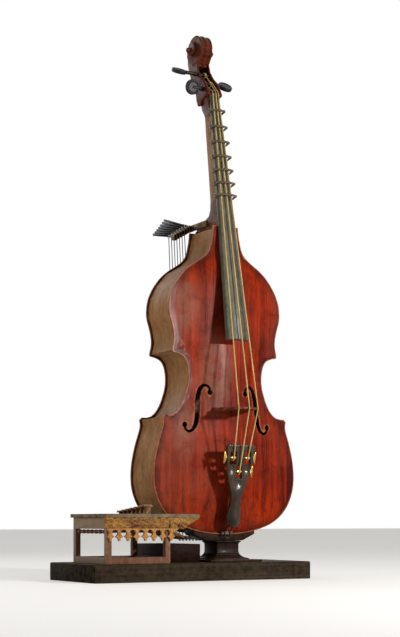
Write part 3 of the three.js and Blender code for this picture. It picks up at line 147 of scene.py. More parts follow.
def buildWoodGrain():
    group, enter, leave = newGroup("woodGrain", [
        ("Vector", "NodeSocketVector", None), ("Light", "NodeSocketColor", (0.5, 0.4, 0.3, 1)),
        ("Dark", "NodeSocketColor", (0.3, 0.2, 0.1, 1)), ("Fine Scale", "NodeSocketFloat", 220.0),
        ("Broad Scale", "NodeSocketFloat", 12.0), ("Stretch", "NodeSocketFloat", 0.04),
        ("Contrast", "NodeSocketFloat", 0.6),
    ], [("Color", "NodeSocketColor"), ("Mask", "NodeSocketFloat"), ("Height", "NodeSocketFloat")])
    squeeze = group.nodes.new("ShaderNodeCombineXYZ")
    squeeze.inputs[0].default_value = 1
    squeeze.inputs[1].default_value = 1
    group.links.new(enter.outputs["Stretch"], squeeze.inputs[2])
    stretched = group.nodes.new("ShaderNodeVectorMath")
    stretched.operation = "MULTIPLY"
    group.links.new(enter.outputs["Vector"], stretched.inputs[0])
    group.links.new(squeeze.outputs[0], stretched.inputs[1])
    lineMask = maskNode(group, stretched.outputs[0], enter.outputs["Fine Scale"], grainMasks["lines"])
    figureMask = maskNode(group, stretched.outputs[0], enter.outputs["Broad Scale"], grainMasks["figure"])
    cloudMask = maskNode(group, enter.outputs["Vector"], grainMasks["clouds"]["scale"], grainMasks["clouds"])
    linePart = mathNode(group, "MULTIPLY", lineMask, grainMasks["lines"]["share"])
    figurePart = mathNode(group, "MULTIPLY", figureMask, grainMasks["figure"]["share"])
    cloudPart = mathNode(group, "MULTIPLY", cloudMask, grainMasks["clouds"]["share"])
    mixed = mathNode(group, "ADD", linePart, mathNode(group, "ADD", figurePart, cloudPart))
    fromMiddle = mathNode(group, "SUBTRACT", mixed, grainMix["middle"])
    centred = mathNode(group, "MULTIPLY", fromMiddle, enter.outputs["Contrast"])
    gained = mathNode(group, "MULTIPLY", centred, grainMix["gain"])
    mask = mathNode(group, "ADD", gained, grainMix["middle"], clamp=True)
    grainColour = mixNode(group, mask, enter.outputs["Dark"], enter.outputs["Light"])
    group.links.new(grainColour, leave.inputs["Color"])
    group.links.new(mask, leave.inputs["Mask"])
    group.links.new(lineMask, leave.inputs["Height"])
    return group


wearShadeMasks = {
    "flakes": dict(noise=(5, 0.65), spread=(0.36, 0.62)),
    "edges": dict(spread=(0.515, 0.6)),
    "hollows": dict(spread=(0.4, 0.49, (1, 0))),
}


def buildWearAndHollowShade():
    group, enter, leave = newGroup("wearAndHollowShade", [
        ("Vector", "NodeSocketVector", None), ("Color", "NodeSocketColor", (0.5, 0.5, 0.5, 1)),
        ("Worn", "NodeSocketColor", (0.8, 0.7, 0.6, 1)), ("Amount", "NodeSocketFloat", 0.5),
        ("Patch Scale", "NodeSocketFloat", 30.0), ("Dirt", "NodeSocketColor", (0.02, 0.01, 0.01, 1)),
        ("Dirt Amount", "NodeSocketFloat", 0.6),
    ], [("Color", "NodeSocketColor"), ("Mask", "NodeSocketFloat")])
    shape = group.nodes.new("ShaderNodeNewGeometry")
    edges = spreadNode(group, shape.outputs["Pointiness"], *wearShadeMasks["edges"]["spread"])
    patches = maskNode(group, enter.outputs["Vector"], enter.outputs["Patch Scale"], wearShadeMasks["flakes"])
    rubbed = mathNode(group, "MULTIPLY", edges, patches)
    mask = mathNode(group, "MULTIPLY", rubbed, enter.outputs["Amount"], clamp=True)
    # painted shade: hollows, found by pointiness, are darkened towards the hollow shade colour
    hollows = spreadNode(group, shape.outputs["Pointiness"], *wearShadeMasks["hollows"]["spread"])
    deep = mathNode(group, "MULTIPLY", hollows, enter.outputs["Dirt Amount"], clamp=True)
    hollowShaded = mixNode(group, deep, enter.outputs["Color"], enter.outputs["Dirt"])
    group.links.new(mixNode(group, mask, hollowShaded, enter.outputs["Worn"]), leave.inputs["Color"])
    group.links.new(mask, leave.inputs["Mask"])
    return group


patinaMasks = {
    "broad": dict(noise=(6, 0.6, 0.6), spread=(0.46, 0.74), finer=1.0),
    "specks": dict(noise=(4, 0.75), spread=(0.6, 0.78), finer=17, share=0.7),
    "darks": dict(noise=(5, 0.65, 1.0), spread=(0.52, 0.74), finer=1.7),
}


def buildPatina():
    group, enter, leave = newGroup("patina", [
        ("Vector", "NodeSocketVector", None), ("Color", "NodeSocketColor", (0.5, 0.5, 0.5, 1)),
        ("Haze", "NodeSocketColor", (0.6, 0.5, 0.45, 1)), ("Soot", "NodeSocketColor", (0.05, 0.03, 0.02, 1)),
        ("Haze Amount", "NodeSocketFloat", 0.25), ("Soot Amount", "NodeSocketFloat", 0.3),
        ("Scale", "NodeSocketFloat", 4.0),
    ], [("Color", "NodeSocketColor"), ("Mask", "NodeSocketFloat"), ("Height", "NodeSocketFloat")])
    spots = {}
    for label, mask in patinaMasks.items():
        scale = mathNode(group, "MULTIPLY", enter.outputs["Scale"], mask["finer"])
        spots[label] = maskNode(group, enter.outputs["Vector"], scale, mask)
    speckPart = mathNode(group, "MULTIPLY", spots["specks"], patinaMasks["specks"]["share"])
    clouds = mathNode(group, "MAXIMUM", spots["broad"], speckPart)
    haze = mathNode(group, "MULTIPLY", clouds, enter.outputs["Haze Amount"], clamp=True)
    soot = mathNode(group, "MULTIPLY", spots["darks"], enter.outputs["Soot Amount"], clamp=True)
    hazed = mixNode(group, haze, enter.outputs["Color"], enter.outputs["Haze"])
    group.links.new(mixNode(group, soot, hazed, enter.outputs["Soot"]), leave.inputs["Color"])
    group.links.new(haze, leave.inputs["Mask"])
    group.links.new(spots["specks"], leave.inputs["Height"])
    return group


woodGrain = buildWoodGrain()
wearAndHollowShade = buildWearAndHollowShade()
patina = buildPatina()
print("surface effects built")

upright = (0, 0, 0)  # grain along Z
sideways = (0, math.pi / 2, 0)  # grain along X
deepWays = (math.pi / 2, 0, 0)  # grain along Y
neckWays = (math.radians(-11.14), 0, 0)  # grain along the leaning neck

finishes = {
    "plinthWood": dict(
        light=linear(64, 53, 41), dark=linear(30, 23, 16), turn=sideways, fine=130, broad=34,
        stretch=0.012, contrast=1.0, rough=(0.42, 0.58), coat=0.0, bump=0.0006, specular=0.015,
        worn=linear(96, 80, 62), wear=0.5, haze=0.06, hazeSheenColour=linear(84, 72, 58), soot=0.12,
        # the near-black end-grain colour is also painted shade on the plinth's shaded left face
        endGrainShade=linear(10, 7, 5),
    ),
    "standWood": dict(
        light=linear(50, 34, 26), dark=linear(17, 11, 8), turn=upright, fine=160, broad=18, stretch=0.05,
        contrast=0.8, rough=(0.3, 0.45), coat=0.15, bump=0.0004, specular=0.05, worn=linear(84, 56, 40),
        wear=0.6, haze=0.1, hazeSheenColour=linear(84, 62, 48), soot=0.3, carvedBand=(0.137, 0.194),
        carvedLines=linear(8, 5, 4),
    ),
    "bellyVarnish": dict(
        light=linear(174, 50, 10), dark=linear(72, 10, 4), turn=upright, fine=240, broad=15,
        stretch=0.035, contrast=1.1, rough=(0.24, 0.42), coat=0.15, bump=0.0004, specular=0.03,
        worn=linear(206, 132, 84), wear=0.6, haze=0.16, hazeSheenColour=linear(142, 84, 62), soot=0.85,
        # the pale sheen on the left half and the three pale patches are painted reflections on the varnish
        rimDark=linear(50, 10, 6), rimWorn=linear(176, 98, 60), leftSheen=0.4,
        glares=[(-0.1, 1.38, 0.15, 0.34), (-0.31, 1.83, 0.1, 0.2), (-0.33, 1.0, 0.1, 0.26)],
        glareColour=linear(138, 96, 77),
    ),
    "backVarnish": dict(
        light=linear(134, 62, 30), dark=linear(76, 30, 16), turn=sideways, fine=200, broad=30,
        stretch=0.12, contrast=1.0, rough=(0.26, 0.42), coat=0.3, bump=0.0004, specular=0.1,
        worn=linear(196, 128, 80), wear=0.6, haze=0.2, hazeSheenColour=linear(150, 96, 62), soot=0.4,
        rimDark=linear(48, 16, 10), rimWorn=linear(120, 62, 36),
    ),
    "ribWood": dict(
        light=linear(180, 130, 80), dark=linear(116, 74, 40), turn=upright, fine=60, broad=14,
        stretch=0.35, contrast=0.9, rough=(0.32, 0.5), coat=0.1, bump=0.0004, specular=0.05,
        worn=linear(176, 130, 84), wear=0.4, haze=0.25, hazeSheenColour=linear(158, 124, 90), soot=0.5,
    ),
    "innerWood": dict(
        light=linear(206, 168, 118), dark=linear(160, 120, 76), turn=upright, fine=180, broad=24,
        stretch=0.04, contrast=0.7, rough=(0.6, 0.75), coat=0.0, bump=0.0006, worn=linear(216, 186, 140),
        wear=0.2, haze=0.1, hazeSheenColour=linear(144, 120, 90), soot=0.15,
    ),
    "neckWood": dict(
        light=linear(156, 106, 40), dark=linear(98, 58, 18), turn=neckWays, fine=200, broad=22,
        stretch=0.04, contrast=0.9, rough=(0.32, 0.46), coat=0.05, bump=0.0004, specular=0.04,
        worn=linear(196, 146, 78), wear=0.4, haze=0.15, hazeSheenColour=linear(160, 116, 62), soot=0.35,
    ),
    "heelWood": dict(
        light=linear(92, 52, 29), dark=linear(46, 22, 12), turn=neckWays, fine=160, broad=22,
        stretch=0.06, contrast=0.85, rough=(0.3, 0.44), coat=0.05, bump=0.0004, specular=0.04,
        worn=linear(166, 110, 72), wear=0.5, haze=0.25, hazeSheenColour=linear(132, 88, 60), soot=0.4,
    ),
    "headWood": dict(
        light=linear(102, 38, 21), dark=linear(48, 13, 7), turn=upright, fine=150, broad=20, stretch=0.09,
        contrast=0.9, rough=(0.2, 0.38), coat=0.3, bump=0.0005, specular=0.04, worn=linear(158, 84, 50),
        wear=0.8, haze=0.35, hazeSheenColour=linear(122, 70, 48), soot=0.6, hollowShade=linear(24, 5, 3), hollowShaded=1.0,
    ),
    "ebonyWood": dict(
        light=linear(122, 118, 100), dark=linear(72, 67, 55), turn=neckWays, fine=240, broad=30,
        stretch=0.03, contrast=0.9, rough=(0.26, 0.42), coat=0.3, bump=0.0004, specular=0.1,
        worn=linear(138, 128, 106), wear=0.6, haze=0.25, hazeSheenColour=linear(128, 120, 100), soot=0.4,
        # the side colour is painted shade on the right-hand side of the board
        shadeSide=linear(56, 50, 40),
    ),
    "tailWood": dict(
        light=linear(76, 57, 35), dark=linear(28, 20, 12), turn=upright, fine=150, broad=22, stretch=0.08,
        contrast=0.85, rough=(0.18, 0.32), coat=1.2, bump=0.0004, worn=linear(112, 92, 66), wear=0.7,
        haze=0.3, hazeSheenColour=linear(82, 70, 50), soot=0.5, hollowShade=linear(8, 6, 4), hollowShaded=1.0, specular=0.2,
    ),
    "pegWood": dict(
        light=linear(34, 28, 26), dark=linear(12, 10, 9), turn=sideways, fine=200, broad=26, stretch=0.05,
        contrast=0.7, rough=(0.34, 0.46), coat=0.0, bump=0.0003, worn=linear(84, 68, 56), wear=0.7,
        haze=0.12, hazeSheenColour=linear(60, 50, 44), soot=0.3, hollowShade=linear(6, 5, 4), hollowShaded=0.8, specular=0.2,
    ),
    "bridgeWood": dict(
        light=linear(112, 48, 26), dark=linear(58, 20, 12), turn=sideways, fine=230, broad=40,
        stretch=0.08, contrast=0.8, rough=(0.34, 0.5), coat=0.2, bump=0.0005, worn=linear(176, 104, 66),
        wear=0.8, haze=0.15, hazeSheenColour=linear(120, 66, 44), soot=0.4,
    ),
    "frameWood": dict(
        light=linear(134, 90, 66), dark=linear(72, 43, 30), turn=upright, fine=170, broad=22,
        stretch=0.05, contrast=0.9, rough=(0.42, 0.6), coat=0.1, bump=0.0007, specular=0.1,
        worn=linear(178, 132, 98), wear=0.8, haze=0.25, hazeSheenColour=linear(146, 112, 88), soot=0.4,
        greySide=linear(140, 124, 104),
    ),
    "deckWood": dict(
        light=linear(104, 88, 70), dark=linear(52, 42, 33), turn=sideways, fine=150, broad=18,
        stretch=0.04, contrast=0.9, rough=(0.5, 0.7), coat=0.05, bump=0.001, worn=linear(158, 134, 102),
        wear=0.9, haze=0.3, hazeSheenColour=linear(134, 114, 90), soot=0.4,
    ),
    "carvedWood": dict(
        light=linear(188, 136, 62), dark=linear(84, 50, 30), turn=sideways, fine=70, broad=26,
        stretch=0.45, contrast=1.1, rough=(0.36, 0.6), coat=0.2, bump=0.002, worn=linear(214, 166, 88),
        wear=0.9, haze=0.5, hazeSheenColour=linear(132, 88, 66), soot=0.7, hollowShade=linear(44, 24, 14), hollowShaded=0.9,
    ),
    "pendantWood": dict(
        light=linear(210, 152, 84), dark=linear(132, 82, 40), turn=upright, fine=90, broad=26,
        stretch=0.4, contrast=0.9, rough=(0.36, 0.55), coat=0.2, bump=0.0008, worn=linear(226, 176, 108),
        wear=0.6, haze=0.2, hazeSheenColour=linear(180, 124, 76), soot=0.4,
    ),
    "caseWood": dict(
        light=linear(22, 9, 6), dark=linear(7, 3, 2), turn=sideways, fine=150, broad=20, stretch=0.05,
        contrast=0.8, rough=(0.4, 0.55), coat=0.0, bump=0.0005, specular=0.04, worn=linear(64, 36, 24),
        wear=0.5, haze=0.12, hazeSheenColour=linear(54, 32, 24), soot=0.3,
    ),
    "bracketWood": dict(
        light=linear(84, 58, 34), dark=linear(40, 26, 16), turn=deepWays, fine=160, broad=24,
        stretch=0.06, contrast=0.8, rough=(0.36, 0.52), coat=0.3, bump=0.0005, worn=linear(176, 128, 64),
        wear=1.0, haze=0.2, hazeSheenColour=linear(118, 90, 56), soot=0.3,
    ),
    "stopWood": dict(
        light=linear(76, 56, 42), dark=linear(34, 24, 18), turn=sideways, fine=220, broad=30,
        stretch=0.05, contrast=0.7, rough=(0.26, 0.4), coat=0.6, bump=0.0003, worn=linear(146, 114, 84),
        wear=0.9, haze=0.25, hazeSheenColour=linear(122, 102, 82), soot=0.25, specular=0.35,
    ),
    "pedalWood": dict(
        light=linear(132, 88, 54), dark=linear(74, 44, 28), turn=sideways, fine=170, broad=22,
        stretch=0.05, contrast=0.85, rough=(0.42, 0.6), coat=0.1, bump=0.0007, worn=linear(182, 136, 90),
        wear=0.9, haze=0.2, hazeSheenColour=linear(140, 106, 74), soot=0.35,
    ),
}


def bareMaterial(name):
    material = bpy.data.materials.new(name)
    material.use_nodes = True
    tree = material.node_tree
    shader = next(node for node in tree.nodes if node.type == "BSDF_PRINCIPLED")
    place = tree.nodes.new("ShaderNodeTexCoord")
    return material, tree, shader, place.outputs["Object"]


def useGroup(tree, group, **inputs):
    node = tree.nodes.new("ShaderNodeGroup")
    node.node_tree = group
    for label, value in inputs.items():
        socket = node.inputs[label.replace("_", " ")]
        if isinstance(value, (int, float, tuple)):
            socket.default_value = value
        else:
            tree.links.new(value, socket)
    return node


def bumpNode(tree, height, distance, strength=1.0):
    node = tree.nodes.new("ShaderNodeBump")
    node.inputs["Strength"].default_value = strength
    node.inputs["Distance"].default_value = distance
    tree.links.new(height, node.inputs["Height"])
    return node.outputs[0]


def facingOf(tree):
    shape = tree.nodes.new("ShaderNodeNewGeometry")
    axes = tree.nodes.new("ShaderNodeSeparateXYZ")
    tree.links.new(shape.outputs["True Normal"], axes.inputs[0])
    return axes.outputs


sheening = dict(start=0.1, full=-0.45, scale=3.4, noise=(5, 0.65, 0.8), spread=(0.4, 0.62, (0.1, 1)))


def leftSheen(tree, place, axes, colour, spec):  # the left half of the belly is painted with a pale sheen in clouds, a painted reflection of the light
    across = (bodyMiddle + sheening["start"], bodyMiddle + sheening["full"])
    leftness = spreadNode(tree, axes[0], *across, (0, spec["leftSheen"]))
    clouds = maskNode(tree, place, sheening["scale"], sheening)
    return mixNode(tree, mathNode(tree, "MULTIPLY", leftness, clouds), colour, spec["hazeSheenColour"])


glaring = dict(scale=11, noise=(6, 0.72, 0.6), spread=(0.36, 0.66, (0.1, 0.85)), reach=(0.1, 1.0, (1, 0)))


def glarePatches(tree, place, axes, colour, spec):  # painted reflections, pale glare patches on the varnish: middle, height and half sizes of each
    mottled = maskNode(tree, place, glaring["scale"], glaring)
    for side, height, halfWide, halfHigh in spec["glares"]:
        squares = []
        for axis, middle, half in ((axes[0], bodyMiddle + side, halfWide), (axes[2], height, halfHigh)):
            away = mathNode(tree, "DIVIDE", mathNode(tree, "SUBTRACT", axis, middle), half)
            squares.append(mathNode(tree, "MULTIPLY", away, away))
        patch = spreadNode(tree, mathNode(tree, "ADD", *squares), *glaring["reach"])
        colour = mixNode(tree, mathNode(tree, "MULTIPLY", patch, mottled), colour, spec["glareColour"])
    return colour


shading = dict(start=-0.006, full=0.022, share=(0, 0.7))


def shadeSide(tree, place, axes, colour, spec):  # painted shade: the right-hand side of the fingerboard is painted darker, as the shaded facet of its crown
    across = (bodyMiddle + shading["start"], bodyMiddle + shading["full"])
    return mixNode(tree, spreadNode(tree, axes[0], *across, shading["share"]), colour, spec["shadeSide"])


carvedBlocks = {"Scale": 1.0, "Mortar Size": 0.0028, "Brick Width": 0.036, "Row Height": 0.0145}
carvedHighlight = 0.35


def carvedBand(tree, place, axes, colour, spec):  # rows of cut blocks round the flare of the pedestal, the band painted lighter as a painted highlight on the carving
    blocks = tree.nodes.new("ShaderNodeTexBrick")
    for label, value in carvedBlocks.items():
        blocks.inputs[label].default_value = value
    slanted = tree.nodes.new("ShaderNodeCombineXYZ")
    tree.links.new(mathNode(tree, "ADD", axes[0], axes[1]), slanted.inputs[0])
    tree.links.new(axes[2], slanted.inputs[1])
    tree.links.new(slanted.outputs[0], blocks.inputs["Vector"])
    low, high = spec["carvedBand"]
    above = mathNode(tree, "GREATER_THAN", axes[2], low)
    inBand = mathNode(tree, "MULTIPLY", above, mathNode(tree, "LESS_THAN", axes[2], high))
    lines = mathNode(tree, "MULTIPLY", blocks.outputs["Fac"], inBand)
    # painted highlight: the whole band is mixed part way to the worn colour
    rubbed = mixNode(tree, mathNode(tree, "MULTIPLY", inBand, carvedHighlight), colour, spec["worn"])
    return mixNode(tree, lines, rubbed, spec["carvedLines"])


endShadeSpread = (0.6, 0.9, (0, 0.9))


def endGrainShade(tree, place, axes, colour, spec):  # faces turned to either side are darker: the ends of the planks drink more stain, and the darkening also stands in for painted shade on the plinth's shaded left face
    ends = mathNode(tree, "ABSOLUTE", facingOf(tree)[0])
    return mixNode(tree, spreadNode(tree, ends, *endShadeSpread), colour, spec["endGrainShade"])


greying = dict(start=0.0015, full=0.0005, share=(0, 0.8))


def greySide(tree, place, axes, colour, spec):  # the outer face of the left side has gone grey
    across = (frameLeft + greying["start"], frameLeft + greying["full"])
    return mixNode(tree, spreadNode(tree, axes[0], *across, greying["share"]), colour, spec["greySide"])


rimming = dict(
    scale=14, noise=(4, 0.65), spread=(0.3, 0.65, (0.3, 1)), shade=(0.008, 0.06, (0.85, 0)),
    inlayStart=(0.0095, 0.0105), inlayEnd=(0.013, 0.014, (1, 0)), inlayShare=0.9,
    rubbed=(0.003, 0.009, (0.85, 0)),
)


def rimDark(tree, place, axes, colour, spec):  # the colour darkens towards the edge, with a dark inlay line near it, and the edge itself is rubbed pale
    near = tree.nodes.new("ShaderNodeAttribute")
    near.attribute_name = "rimNear"
    distance = near.outputs["Fac"]
    uneven = maskNode(tree, place, rimming["scale"], rimming)
    shade = mathNode(tree, "MULTIPLY", spreadNode(tree, distance, *rimming["shade"]), uneven)
    colour = mixNode(tree, shade, colour, spec["rimDark"])
    started = spreadNode(tree, distance, *rimming["inlayStart"])
    inlay = mathNode(tree, "MULTIPLY", started, spreadNode(tree, distance, *rimming["inlayEnd"]))
    colour = mixNode(tree, mathNode(tree, "MULTIPLY", inlay, rimming["inlayShare"]), colour, spec["rimDark"])
    rubbed = mathNode(tree, "MULTIPLY", spreadNode(tree, distance, *rimming["rubbed"]), uneven)
    return mixNode(tree, rubbed, colour, spec["rimWorn"])


marks = {
    "leftSheen": leftSheen, "glares": glarePatches, "shadeSide": shadeSide, "carvedBand": carvedBand,
    "endGrainShade": endGrainShade, "greySide": greySide, "rimDark": rimDark,
}
woodGloss = dict(specular=0.1, coat=0.2, coatRoughness=0.2, hollowShade=0.5, hazeRough=0.3)


def woodMaterial(name, spec):
    material, tree, shader, place = bareMaterial(name)
    turned = tree.nodes.new("ShaderNodeMapping")
    turned.inputs["Rotation"].default_value = spec["turn"]
    tree.links.new(place, turned.inputs["Vector"])
    grain = useGroup(tree, woodGrain, Vector=turned.outputs[0], Light=spec["light"], Dark=spec["dark"],
                     Fine_Scale=spec["fine"], Broad_Scale=spec["broad"], Stretch=spec["stretch"],
                     Contrast=spec["contrast"])
    aged = useGroup(tree, patina, Vector=place, Color=grain.outputs["Color"], Haze=spec["hazeSheenColour"],
                    Soot=spec["dark"], Haze_Amount=spec["haze"], Soot_Amount=spec["soot"])
    colour = aged.outputs["Color"]
    where = tree.nodes.new("ShaderNodeSeparateXYZ")
    tree.links.new(place, where.inputs[0])
    for label, mark in marks.items():
        if label in spec:
            colour = mark(tree, place, where.outputs, colour, spec)
    # worn edges, and painted shade mixed into the hollows
    worn = useGroup(tree, wearAndHollowShade, Vector=place, Color=colour, Worn=spec["worn"], Amount=spec["wear"],
                    Dirt=spec.get("hollowShade", spec["dark"]), Dirt_Amount=spec.get("hollowShaded", woodGloss["hollowShade"]))
    tree.links.new(worn.outputs["Color"], shader.inputs["Base Color"])
    low, high = spec["rough"]
    rough = mathNode(tree, "ADD", spreadNode(tree, grain.outputs["Mask"], 0, 1, (high, low)),
                     mathNode(tree, "MULTIPLY", aged.outputs["Mask"], woodGloss["hazeRough"]))
    tree.links.new(rough, shader.inputs["Roughness"])
    shader.inputs["Specular IOR Level"].default_value = spec.get("specular", woodGloss["specular"])
    shader.inputs["Coat Weight"].default_value = spec["coat"] * woodGloss["coat"]
    shader.inputs["Coat Roughness"].default_value = woodGloss["coatRoughness"]
    tree.links.new(bumpNode(tree, grain.outputs["Height"], spec["bump"]), shader.inputs["Normal"])
    return material


woods = {name: woodMaterial(name, spec) for name, spec in finishes.items()}
print("wood finishes built:", len(woods))


gutColours = {
    "paleGut": dict(light=linear(228, 200, 126), dark=linear(180, 146, 78)),
    "darkGut": dict(light=linear(62, 48, 36), dark=linear(26, 19, 15)),
}
gutSpec = dict(
    twist=420, distortion=0.6, scale=9, noise=(4, 0.6), spread=(0.35, 0.7), twistShare=0.35, patchShare=0.65,
    rough=(0.38, 0.58), bump=0.0006,
)


def gutMaterial(name, colours):
    material, tree, shader, place = bareMaterial(name)
    twist = tree.nodes.new("ShaderNodeTexWave")
    twist.bands_direction = "DIAGONAL"
    twist.inputs["Scale"].default_value = gutSpec["twist"] / math.tau
    twist.inputs["Distortion"].default_value = gutSpec["distortion"]
    tree.links.new(place, twist.inputs["Vector"])
    patches = maskNode(tree, place, gutSpec["scale"], gutSpec)
    twistPart = mathNode(tree, "MULTIPLY", twist.outputs["Fac"], gutSpec["twistShare"])
    patchPart = mathNode(tree, "MULTIPLY", patches, gutSpec["patchShare"])
    shade = mathNode(tree, "ADD", twistPart, patchPart, clamp=True)
    tree.links.new(mixNode(tree, shade, colours["dark"], colours["light"]), shader.inputs["Base Color"])
    tree.links.new(spreadNode(tree, patches, 0, 1, gutSpec["rough"]), shader.inputs["Roughness"])
    tree.links.new(bumpNode(tree, twist.outputs["Fac"], gutSpec["bump"]), shader.inputs["Normal"])
    return material


metalSpecs = {
    "agedBrass": dict(
        clean=linear(206, 172, 98), dull=linear(120, 88, 44), rough=(0.22, 0.5), scale=60, metal=1.0,
    ),
    "drawnWire": dict(
        clean=linear(98, 95, 90), dull=linear(46, 42, 38), rough=(0.3, 0.5), scale=90, metal=1.0,
    ),
    "blackEnamel": dict(
        clean=linear(16, 14, 13), dull=linear(38, 32, 28), rough=(0.2, 0.4), scale=45, metal=0.0,
    ),
}
tarnishing = dict(
    noise=(6, 0.7, 0.5), spread=(0.42, 0.72), wear=0.8, patches=80.0, bump=0.0002, specular=0.05,
)


def metalMaterial(name, spec):
    material, tree, shader, place = bareMaterial(name)
    tarnish = maskNode(tree, place, spec["scale"], tarnishing)
    worn = useGroup(tree, wearAndHollowShade, Vector=place, Color=mixNode(tree, tarnish, spec["clean"], spec["dull"]),
                    Worn=spec["clean"], Amount=tarnishing["wear"], Patch_Scale=tarnishing["patches"])
    tree.links.new(worn.outputs["Color"], shader.inputs["Base Color"])
    tree.links.new(spreadNode(tree, tarnish, 0, 1, spec["rough"]), shader.inputs["Roughness"])
    tree.links.new(bumpNode(tree, tarnish, tarnishing["bump"]), shader.inputs["Normal"])
    shader.inputs["Metallic"].default_value = spec["metal"]
    shader.inputs["Specular IOR Level"].default_value = tarnishing["specular"]
    return material


metals = {name: metalMaterial(name, spec) for name, spec in metalSpecs.items()}
guts = {name: gutMaterial(name, colours) for name, colours in gutColours.items()}
print("gut and metal finishes built")

finishOf = {
    "plinth_wood": woods["plinthWood"], "stand_wood": woods["standWood"],
    "belly_varnish": woods["bellyVarnish"], "back_varnish": woods["backVarnish"],
    "rib_wood": woods["ribWood"], "inner_wood": woods["innerWood"], "neck_wood": woods["neckWood"],
    "head_wood": woods["headWood"], "ebony": woods["ebonyWood"], "bridge_wood": woods["bridgeWood"],
    "gut": guts["paleGut"], "dark_gut": guts["darkGut"], "peg_wood": woods["pegWood"],
    "brass": metals["agedBrass"], "frame_wood": woods["frameWood"], "deck_wood": woods["deckWood"],
    "carved_wood": woods["carvedWood"], "case_wood": woods["caseWood"],
    "bracket_wood": woods["bracketWood"], "lever_black": metals["blackEnamel"],
    "stop_wood": woods["stopWood"], "wire_steel": metals["drawnWire"], "pedal_wood": woods["pedalWood"],
}
for nodeName, nodeObject in frame["nodes"].items():
    for materialSlot in nodeObject.material_slots:
        materialSlot.material = finishOf[slotOf[nodeName]]


# Making of pieces
making = dict(
    merge=2e-5, flat=math.radians(0.5), edge=30, smoothTo=40, profile=0.5, passes=7, slimmest=0.0005,
    steps=2, soften=0.5,
)


def mergedCopy(nodeName):
    work = bmesh.new()
    work.from_mesh(frame["nodes"][nodeName].data)
    bmesh.ops.remove_doubles(work, verts=work.verts, dist=making["merge"])
    return work


def plainCopy(nodeName):  # a merged copy without the edges inside flat faces
    work = mergedCopy(nodeName)
    bmesh.ops.dissolve_limit(work, angle_limit=making["flat"], verts=work.verts, edges=work.edges)
    return work


def finishPiece(work, pieceName, material, sharp=making["smoothTo"], others=()):
    for face in work.faces:
        face.smooth = True
    for edge in work.edges:
        edge.smooth = len(edge.link_faces) == 2 and edge.calc_face_angle(0) < math.radians(sharp)
    mesh = bpy.data.meshes.new(pieceName)
    work.to_mesh(mesh)
    work.free()
    for finish in (material, *others):
        mesh.materials.append(finish)
    piece = bpy.data.objects.new(pieceName, mesh)
    bpy.context.collection.objects.link(piece)
    return piece


def standFor(piece, *nodeNames):
    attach(piece, bodyOf[nodeNames[0]])
    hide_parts(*nodeNames)


def sharpEdges(work, angle):
    limit = math.radians(angle)
    return [edge for edge in work.edges if len(edge.link_faces) == 2 and edge.calc_face_angle(0) > limit]


def bevelEdges(work, edges, offset, segments, kind="OFFSET"):
    bmesh.ops.bevel(work, geom=edges, offset=offset, offset_type=kind, segments=segments,
                    profile=making["profile"], affect="EDGES", clamp_overlap=True, material=-1)


def easedCopy(nodeName, bevel):  # the CAD shape with its edges rounded over
    work = plainCopy(nodeName)
    if bevel > 0:
        bevelEdges(work, sharpEdges(work, making["edge"]), bevel, making["steps"])
    return finishPiece(work, nodeName + "Eased", finishOf[slotOf[nodeName]])


easing = {
    "plinth": 0.004, "cradle": 0.003, "nut": 0.0012, "bridge": 0.0018, "fingerboard": 0.0012,
    "tail_gut": 0.0, "saddle": 0.0015, "platform_frame": 0.0025, "platform_top": 0.003,
    "pedal_case": 0.0025, "lever_bracket": 0.0015, "ribs": 0.0, "pedestal": 0.003,
    "top_block": 0.002, "bottom_block": 0.002, "bass_bar": 0.002, "sound_post": 0.001,
}
rollerEasing = 0.001
rowEasing = {"pedal": 0.0018, "lever": 0.0008, "stop": 0.0012, "wire": 0.0}
easing.update({f"tail_tuner_{i}": rollerEasing for i in threes})
easing.update({f"{kind}_{i}": width for i in sevens for kind, width in rowEasing.items()})
for nodeName, bevelWidth in easing.items():
    standFor(easedCopy(nodeName, bevelWidth), nodeName)
print("eased pieces made:", len(easing))


# Belly and back: the CAD plate cut finer and laid on a smooth arching
arching = {
    "half": 0.559, "length": 2.09, "rise": 0.040, "thick": 0.012, "power": 0.8,
    "spineLow": 0.330, "spineHigh": 1.680, "longest": 0.018, "rimBevel": 0.003, "rimStep": 0.004,
    "flattest": 3, "sharpest": 44, "cornerShare": 46, "upright": 0.9, "rimAngle": 50, "flatRise": 0.0005,
    "outlineSteps": 4, "rimSteps": 3, "facing": 0.3, "smoothTo": 45,
    "edgeShares": [
        (0.975, 0), (0.975, 0.188), (0.877, 0.314), (0.769, 0.373), (0.537, 0.443), (0.487, 0.503),
        (0.528, 0.568), (0.662, 0.622), (0.716, 0.678), (0.76, 0.723), (0.689, 0.804), (0.581, 0.844),
        (0.447, 0.871), (0.304, 0.893), (0.206, 0.931), (0.17, 0.981), (0.161, 1.02),
    ],
}


def archHalf(height):
    share = height / arching["length"]
    rows = arching["edgeShares"]
    for (halfLow, low), (halfHigh, high) in zip(rows, rows[1:]):
        if share <= high:
            ease = (share - low) / (high - low)
            return arching["half"] * (halfLow + (halfHigh - halfLow) * ease)
    return arching["half"] * rows[-1][0]


def archRise(across, height):
    below = (arching["spineLow"] - height) / arching["spineLow"]
    above = (height - arching["spineHigh"]) / (arching["length"] - arching["spineHigh"])
    inward = max(0.0, 1 - math.hypot(across / archHalf(height), max(0.0, below, above)))
    return arching["rise"] * (0.5 - 0.5 * math.cos(math.pi * inward ** arching["power"]))


